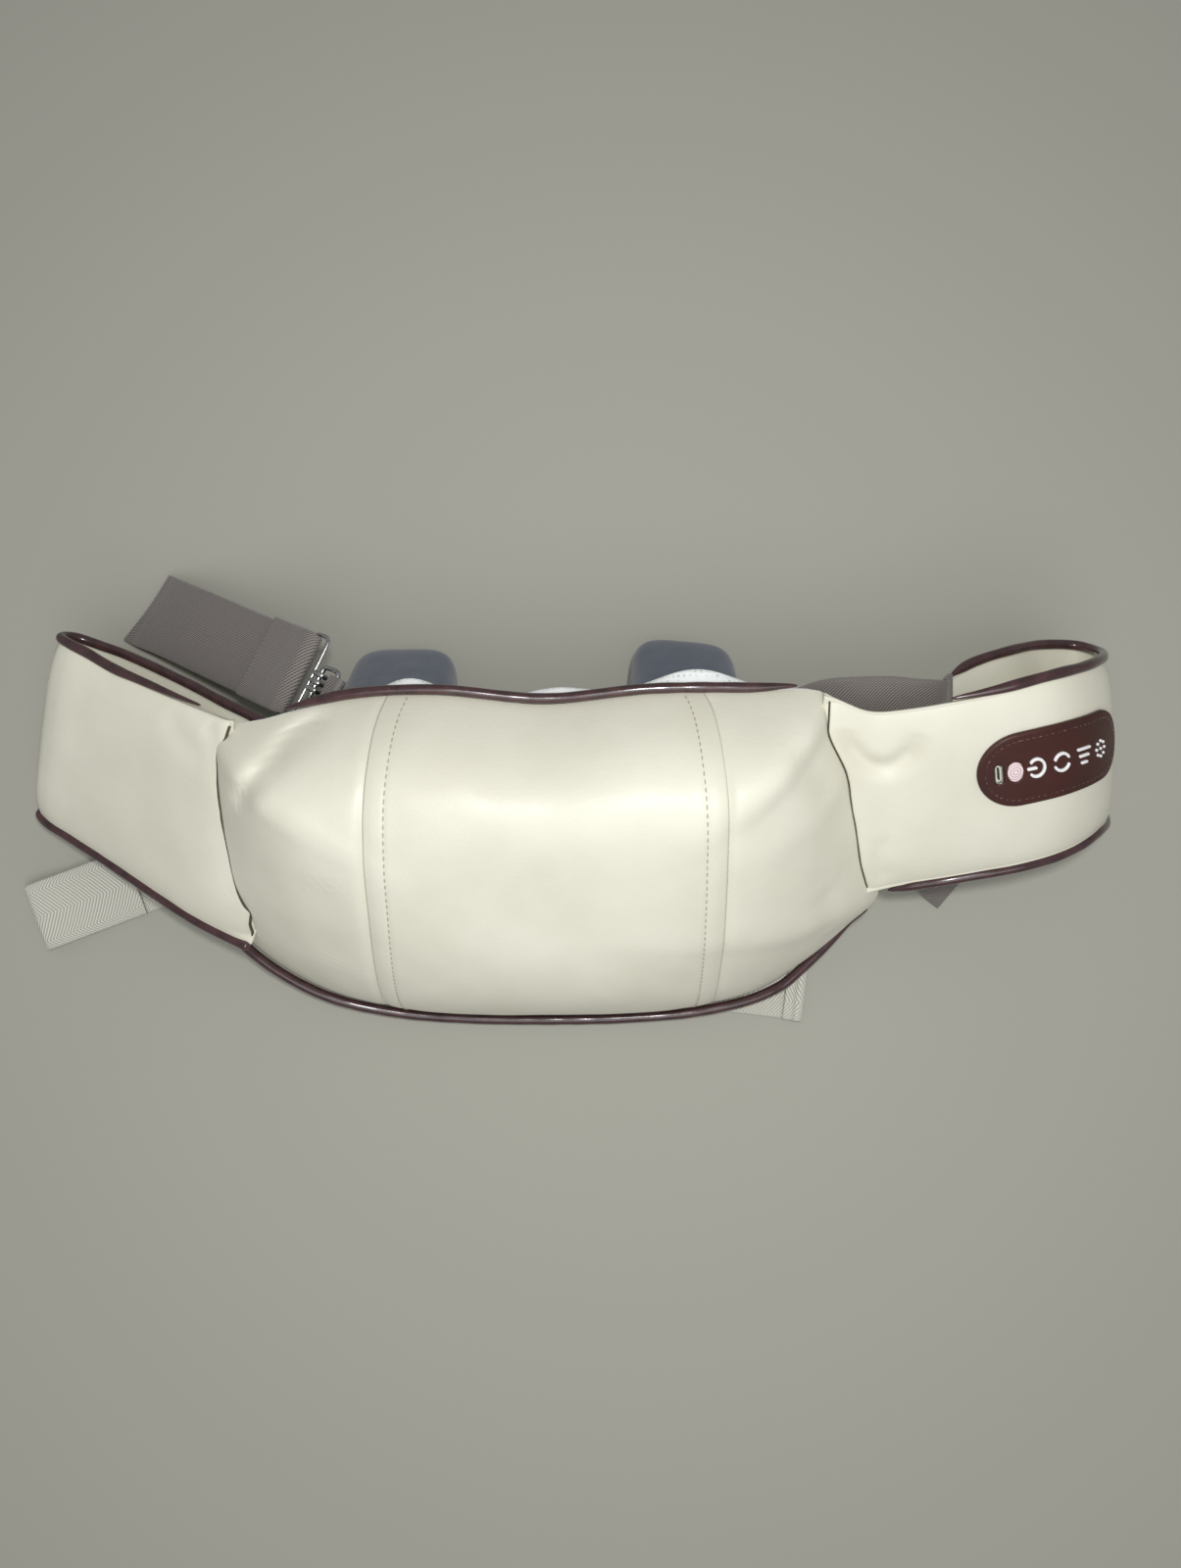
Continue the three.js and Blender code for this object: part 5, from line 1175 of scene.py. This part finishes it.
# Massage heads: moulded blocks that swell a little and close in a soft tip
HEAD_WIDTH, HEAD_DEPTH, HEAD_BASE = 50.6, 44.0, 15.3
TALL_REACH, SHORT_REACH = 81.4, 42.0
ORBIT, PHASE = 30.0, math.radians(7)
# A head's size against the way along it, as shares
head_profile = Route([(0, 0), (0.7, 0), (0.88, 0.012), (0.965, 0.06), (1, 0.16), (1, 0.4), (1, 0.66),
                      (0.99, 0.82), (0.945, 0.92), (0.8, 0.975), (0.45, 0.997), (0, 1)], fine=24)
# The soft tips stand a little turned and bent, as they do on the floor: their twist and their lean.
head_lean = {("left", "tall"): (-0.1, (3.0, 0.0)), ("right", "tall"): (-0.22, (-1.0, 5.0))}


def head_place(side, forward, reach, twist, lean):
    def squared(wave):
        return np.sign(wave) * np.sqrt(np.abs(wave))

    def place(a, b):
        size, along = head_profile.at(b * head_profile.length).T
        turn = 2 * np.pi * a
        x, y = HEAD_WIDTH / 2 * squared(np.cos(turn)), HEAD_DEPTH / 2 * squared(np.sin(turn))
        x, y = x * math.cos(twist) - y * math.sin(twist), x * math.sin(twist) + y * math.cos(twist)
        x, y = x * size + lean[0] * np.minimum(4 * along, 1), y * size + forward * ORBIT + lean[1] * along
        u = side * ROTOR_U + x * math.cos(PHASE) - y * math.sin(PHASE)
        v = ROTOR_V + x * math.sin(PHASE) + y * math.cos(PHASE)
        return pod_points(u, v, -HEAD_BASE - (reach - HEAD_BASE) * along)
    return place


for side, name in SIDES:
    for forward, kind, reach in ((1, "tall", TALL_REACH), (-1, "short", SHORT_REACH)):
        twist, lean = head_lean.get((name, kind), (0.0, (0.0, 0.0)))
        head = closed_piece(f"{name}_{kind}_massage_head", head_place(side, forward, reach, twist, lean),
                            (128, 96), silicone)
        dress(head, f"{name}_rotor", f"{name}_{kind}_head")

# Straps: flat bands along a route, with a width direction at each of its points
ELASTIC_WIDTH, ELASTIC_THICKNESS = 38.0, 1.8
WEBBING_WIDTH, WEBBING_THICKNESS = 34.0, 1.6
TAB_WIDTH, TAB_THICKNESS = 11, 1.2
GAP = 0.3
BELT_SHIFT = np.array([-3.93, -28.93, 0.25])


def strap_piece(name, stations, width, thickness, material, cells):
    points, ways = [np.array(part, float) for part in zip(*stations)]
    path = Route(points)
    count = len(points) - 1

    def place(a, b):
        """Once round the band's section at b, and along it at a."""
        a = np.interp(a * path.length, path.run, np.linspace(0, 1, len(path.run)))
        centre = path.knot(a)
        way = unit(path.knot(np.clip(a + 1e-3, 0, 1)) - path.knot(np.clip(a - 1e-3, 0, 1)))
        index = np.clip(np.floor(a * count), 0, count - 1).astype(int)
        t = a * count - index
        t = t * t * (3 - 2 * t)
        across = ways[index] * (1 - t)[:, None] + ways[index + 1] * t[:, None]
        reach = np.linalg.norm(across, axis=1)
        across = unit(across - way * np.sum(across * way, 1)[:, None])
        normal = np.cross(way, across)
        turn = 2 * np.pi * b
        flat = np.clip(np.cos(turn) * 1.05, -1, 1)
        up = np.clip(np.sin(turn) * 3.5, -1, 1)
        return (centre + across * (reach * flat * width / 2)[:, None]
                + normal * (up * thickness / 2)[:, None]) * MM

    bm = bmesh.new()
    carried_grid(bm, place, cells, size=(path.length * MM, 2 * width * MM))
    bmesh.ops.holes_fill(bm, edges=bm.edges, sides=0)
    bmesh.ops.recalc_face_normals(bm, faces=bm.faces)
    return finished(name, bm, material)


def elastic_piece(name, stations, cells=(160, 30)):
    return strap_piece(name, stations, ELASTIC_WIDTH, ELASTIC_THICKNESS, grey_elastic, cells)


def from_shares(table):
    return [(np.array(p) * HALF_WIDTH + BELT_SHIFT, w) for p, w in table]


# The fastener's own frame: its middle, out along the strap, along its bar, and up
fastener = np.array([-100.87, 53.06, 72.28])
out_way, bar_way = np.array([-0.78248, 0.33636, -0.52401]), np.array([-0.43800, -0.89548, 0.07924])
up_way = np.cross(out_way, bar_way)


def fastener_point(x, z, y=0.0):
    return fastener + out_way * x + bar_way * y + up_way * z


ring_half_length, ring_half_width, ring_bar, ring_thickness = 9.0, 6.0, 2.5, 2.0
hook_thickness, hook_bar, hook_gap, hook_plate = 1.6, 3.0, 0.4, 12.0
hook_low = ring_thickness / 2 + hook_gap
hook_high = hook_low + hook_thickness
plate_start = ring_half_width + hook_gap
plate_end = plate_start + hook_plate
hook_seat = plate_end - hook_bar / 2
hook_middle = (hook_low + hook_high) / 2
loop_height = hook_thickness / 2 + ELASTIC_THICKNESS / 2 + 4 * GAP
loop_depth = hook_bar / 2 + ELASTIC_THICKNESS / 2 + 3.5 * GAP

# The strap's doubled end, a little wider than the strap itself
doubled, doubled_spread = 26.0, 1.04
doubled_height = ELASTIC_THICKNESS + 8 * GAP - loop_height
left_route = from_shares([
    ((-0.98, 0.683, 0.008), (0.5, 0.87, 0)), ((-1.13, 0.747, 0.008), (0.5, 0.87, 0)),
    ((-1.291, 0.815, 0.012), (0.6, 0.83, 0)), ((-1.315, 0.831, 0.034), (0.6, 0.83, 0)),
    ((-1.291, 0.821, 0.057), (0.6, 0.83, 0))])
left_route += [(fastener_point(x, hook_middle + z), -bar_way * spread) for x, z, spread in (
    (hook_seat + 84, 0, 1), (hook_seat + 42 + 4 * GAP, -loop_height, 1),
    (hook_seat + doubled / 2, -loop_height, 1), (hook_seat, -loop_height, 1), (hook_seat - loop_depth, 0, 1),
    (hook_seat, loop_height, doubled_spread), (hook_seat + doubled / 2, doubled_height + GAP, doubled_spread),
    (hook_seat + doubled, doubled_height, doubled_spread))]
strap = elastic_piece("left_elastic", left_route, (420, 30))
dress(strap, "left_strap", "left_elastic_strap")

right_route = from_shares([
    ((0.742, 0.4185, 0.4805), (-0.5, 0.75, 0.433)), ((0.825, 0.447, 0.5), (-0.25, 0.83, 0.48)),
    ((0.98, 0.45, 0.517), (0, 0.87, 0.5)), ((1.075, 0.442, 0.523), (-0.1, 0.86, 0.5)),
    ((1.143, 0.439, 0.505), (-0.226, 0.842, 0.487)), ((1.182, 0.459, 0.472), (-0.226, 0.842, 0.487))])
strap = elastic_piece("right_elastic", right_route)
blend_with_pod(strap, 1, "right", 60)
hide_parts("right_elastic_strap")

tail_across, floor_across = (0.8, 0.31, -0.51), ((0.77, 0.6, -0.2), (0.77, 0.65, 0))
tail_route = from_shares([
    ((1.1875, 0.3385, 0.3393), tail_across), ((1.21, 0.22, 0.265), tail_across),
    ((1.235, 0.062, 0.185), tail_across), ((1.29, -0.005, 0.06), floor_across[0]),
    ((1.355, -0.053, 0.0215), floor_across[1])])
dress(elastic_piece("right_elastic_tail", tail_route), "right_arm", "right_strap_tail")

# Webbing: hemmed ends on the floor
WEBBING_HEIGHT = WEBBING_THICKNESS / 2 + 0.25
WEBBING_RISE = WEBBING_THICKNESS + GAP
HEM_TURN = WEBBING_THICKNESS + 2 * GAP


def hemmed(tip, along, across, hem, flat, lift):
    """Stations of a webbing end that comes down to the floor and is folded back on itself at its tip."""
    tip, along = np.array(tip) * HALF_WIDTH + BELT_SHIFT, np.array(along)
    return [(tip + along * back + np.array([0, 0, WEBBING_HEIGHT + height]), across) for back, height in (
        (flat, lift), ((flat + hem) / 2, 0), (hem, 0), (hem / 2, 0), (HEM_TURN, 0), (0, WEBBING_RISE),
        (HEM_TURN, 2 * WEBBING_RISE), (hem / 2, WEBBING_RISE + GAP), (hem, WEBBING_RISE + GAP))]


rising = from_shares([
    ((-1.0767, 0.0516, 0.1977), (0.318, 0.822, 0.474)), ((-1.056, 0.066, 0.158), (0.318, 0.822, 0.474)),
    ((-1.063, 0.056, 0.086), (0, 0.93, 0.25)), ((-1.113, 0.033, 0.03), (-0.25, 0.95, 0.05))])
rising += hemmed((-1.689, -0.185, 0), (0.935, 0.355, 0), (-0.355, 0.935, 0), 52, 78, 2 * GAP)
strap = strap_piece("left_webbing", rising, WEBBING_WIDTH, WEBBING_THICKNESS, cream_webbing, (420, 30))
dress(strap, "left_arm", "left_webbing_loop")
short_end = hemmed((0.834, -0.424, 0), (-0.975, 0.12, 0), (0.12, 0.975, 0), 9, 60, 2)
strap = strap_piece("right_webbing", short_end, WEBBING_WIDTH - 2 * WEBBING_THICKNESS, WEBBING_THICKNESS,
                    cream_webbing, (160, 30))
dress(strap, "pod", "right_webbing_tab")

# The tab, ring and hook of the left strap
tab_end = np.array([-0.5823, 0.5078, 0.542]) * HALF_WIDTH + BELT_SHIFT
tab_offset = ring_thickness / 2 + 2 * GAP + TAB_THICKNESS / 2
bar_edge = ring_bar - ring_half_width
spread = fastener_point(0, tab_offset) - fastener
tab_route = [(p, -bar_way) for p in (
    tab_end + spread, fastener_point(-ring_half_width - tab_offset, tab_offset),
    fastener_point(bar_edge, tab_offset), fastener_point(bar_edge + TAB_THICKNESS / 2 + 3 * GAP, 0),
    fastener_point(bar_edge, -tab_offset), fastener_point(-ring_half_width - tab_offset, -tab_offset),
    tab_end - spread)]
strap = strap_piece("ring_loop_tab", tab_route, TAB_WIDTH, TAB_THICKNESS, grey_elastic, (160, 24))
dress(strap, "pod", "ring_tab")


def wire(name, points, radius, closed, material, side, flatten=1.0):
    """Bent wire through points of the fastener, in millimetres."""
    path = Route(np.array(points) * MM, closed=closed, fine=16)
    side = np.array(side, float)

    def beside(a, step):
        return path.knot((a + step) % 1 if closed else np.clip(a + step, 0, 1))

    def place(a, b):
        way = unit(beside(a, 2e-3) - beside(a, -2e-3))
        across = unit(side - way * (way @ side)[:, None])
        other = np.cross(way, across)
        from_end = 1 if closed else np.clip(np.minimum(a, 1 - a) * path.length / (radius * MM), 0, 1)
        r = radius * MM * np.sqrt(1 - (1 - from_end) ** 2) * np.ones(np.shape(a))
        turn = 2 * np.pi * b
        return (path.knot(a) + across * (r * flatten * np.cos(turn))[:, None]
                + other * (r * np.sin(turn))[:, None])

    return closed_piece(name, place, (200, 16), material)


def rounded_loop(x0, x1, y0, y1, corner, z=0.0):
    points = []
    for cx, cy, start in ((x1 - corner, y1 - corner, 0), (x0 + corner, y1 - corner, 1),
                          (x0 + corner, y0 + corner, 2), (x1 - corner, y0 + corner, 3)):
        for i in range(4):
            turn = (start + i / 3) * math.pi / 2
            points.append(fastener_point(cx + corner * math.cos(turn), z, cy + corner * math.sin(turn)))
    return points


ring_wire, frame_wire, frame_inset, prong_wire, prong_spacing = 1.1, 0.95, 1.3, 0.75, 3.6
inner_x, inner_y = ring_half_width - ring_wire, ring_half_length - ring_wire
ring_piece = wire("strap_ring_wire", rounded_loop(-inner_x, inner_x, -inner_y, inner_y, 2.2), ring_wire, True,
                  nickel_wire, up_way)
dress(ring_piece, "pod", "strap_ring")
half = ELASTIC_WIDTH / 2 + 1
frame_points = rounded_loop(plate_start + frame_inset, plate_end - frame_inset, -half, half, 2.4, hook_middle)
frame_loop = wire("strap_hook_frame", frame_points, frame_wire, True, nickel_wire, up_way, 0.72)
dress(frame_loop, "left_strap", "strap_hook")
prong_x = ring_half_width - ring_bar - hook_gap - hook_thickness
for i in range(3):
    prong_points = [fastener_point(x, z, (i - 1) * prong_spacing) for x, z in (
        (plate_start + 2, hook_middle), (plate_start - 1, hook_middle), (prong_x + 2.5, hook_middle),
        (prong_x + 0.9, hook_middle - 0.9), (prong_x + 0.8, 0), (prong_x + 0.9, -hook_middle + 0.9),
        (prong_x + 2.5, -hook_middle), (ring_half_width - 0.6, -hook_middle))]
    prong = wire(f"strap_hook_prong_{i + 1}", prong_points, prong_wire, False, nickel_wire, bar_way, 1.6)
    dress(prong, "left_strap")

# Stitching through the doubled elastic by the hook: one wide row of slanted threads
rows = []
height = hook_middle + loop_height * 0.62 + 0.75
for y in np.arange(-4, 16.1, 1.7):
    x = hook_seat + 5 + random.uniform(-0.4, 0.4)
    a = fastener_point(x - 1.0, height, y - 0.4)
    b = fastener_point(x + 1.0, height - 0.25, y + 0.4)
    rows.append((Vector((a + b) / 2 * MM), Vector(b - a)))
dress(stitches("elastic_stitching", rows, white_thread, 2.2, 0.28), "left_strap")

# What stays of the frame gets its finish
node_finishes = {
    black_abs: ["front_housing", "rear_plate", "left_shaft_bearing", "right_shaft_bearing", "left_rotor_arm",
                "right_rotor_arm"],
    turned_steel: [f"housing_screw_{i}" for i in range(1, 5)] + ["worm_shaft", "left_output_shaft",
                                                                 "right_output_shaft"],
    acetal: ["left_worm_wheel", "right_worm_wheel"],
    bronze_bush: ["left_rotor_bush", "right_rotor_bush"],
    solder_mask: ["main_board", "switch_board"],
    shrink_sleeve: ["battery_pack"],
    amber_film: ["heating_film"],
    zinc_can: ["drive_motor"],
}
for finish_of_node, node_names in node_finishes.items():
    for node_name in node_names:
        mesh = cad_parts[node_name].data
        mesh.materials.clear()
        mesh.materials.append(finish_of_node)

# Floor and lamps
floor_paint, _, _ = material("pale_floor", Roughness=0.9, Base_Color="#a8a79c")
bm = bmesh.new()
bmesh.ops.create_grid(bm, x_segments=1, y_segments=1, size=6)
floor = finished("floor", bm, floor_paint, smooth=False)

world = bpy.data.worlds.new("soft_room")
bpy.context.scene.world = world
world.use_nodes = True
sky = world.node_tree.nodes["Background"]
sky.inputs["Color"].default_value = linear("#fbfcff")
sky.inputs["Strength"].default_value = 0.34


def lamp(name, place, target, size, power, colour="#ffffff"):
    data = bpy.data.lights.new(name, "AREA")
    data.shape = "DISK"
    data.size = size
    data.energy = power
    data.color = linear(colour)[:3]
    obj = bpy.data.objects.new(name, data)
    obj.location = place
    obj.rotation_euler = (Vector(target) - Vector(place)).to_track_quat("-Z", "Y").to_euler()
    bpy.context.scene.collection.objects.link(obj)


lamp("key", (0.04, 0.06, 0.66), (0.01, 0, 0.05), 0.05, 2.0)
lamp("fill", (0.1, -0.6, 1.5), (0, 0, 0.05), 1.2, 7.0)

bpy.context.scene.view_settings.view_transform = "Standard"
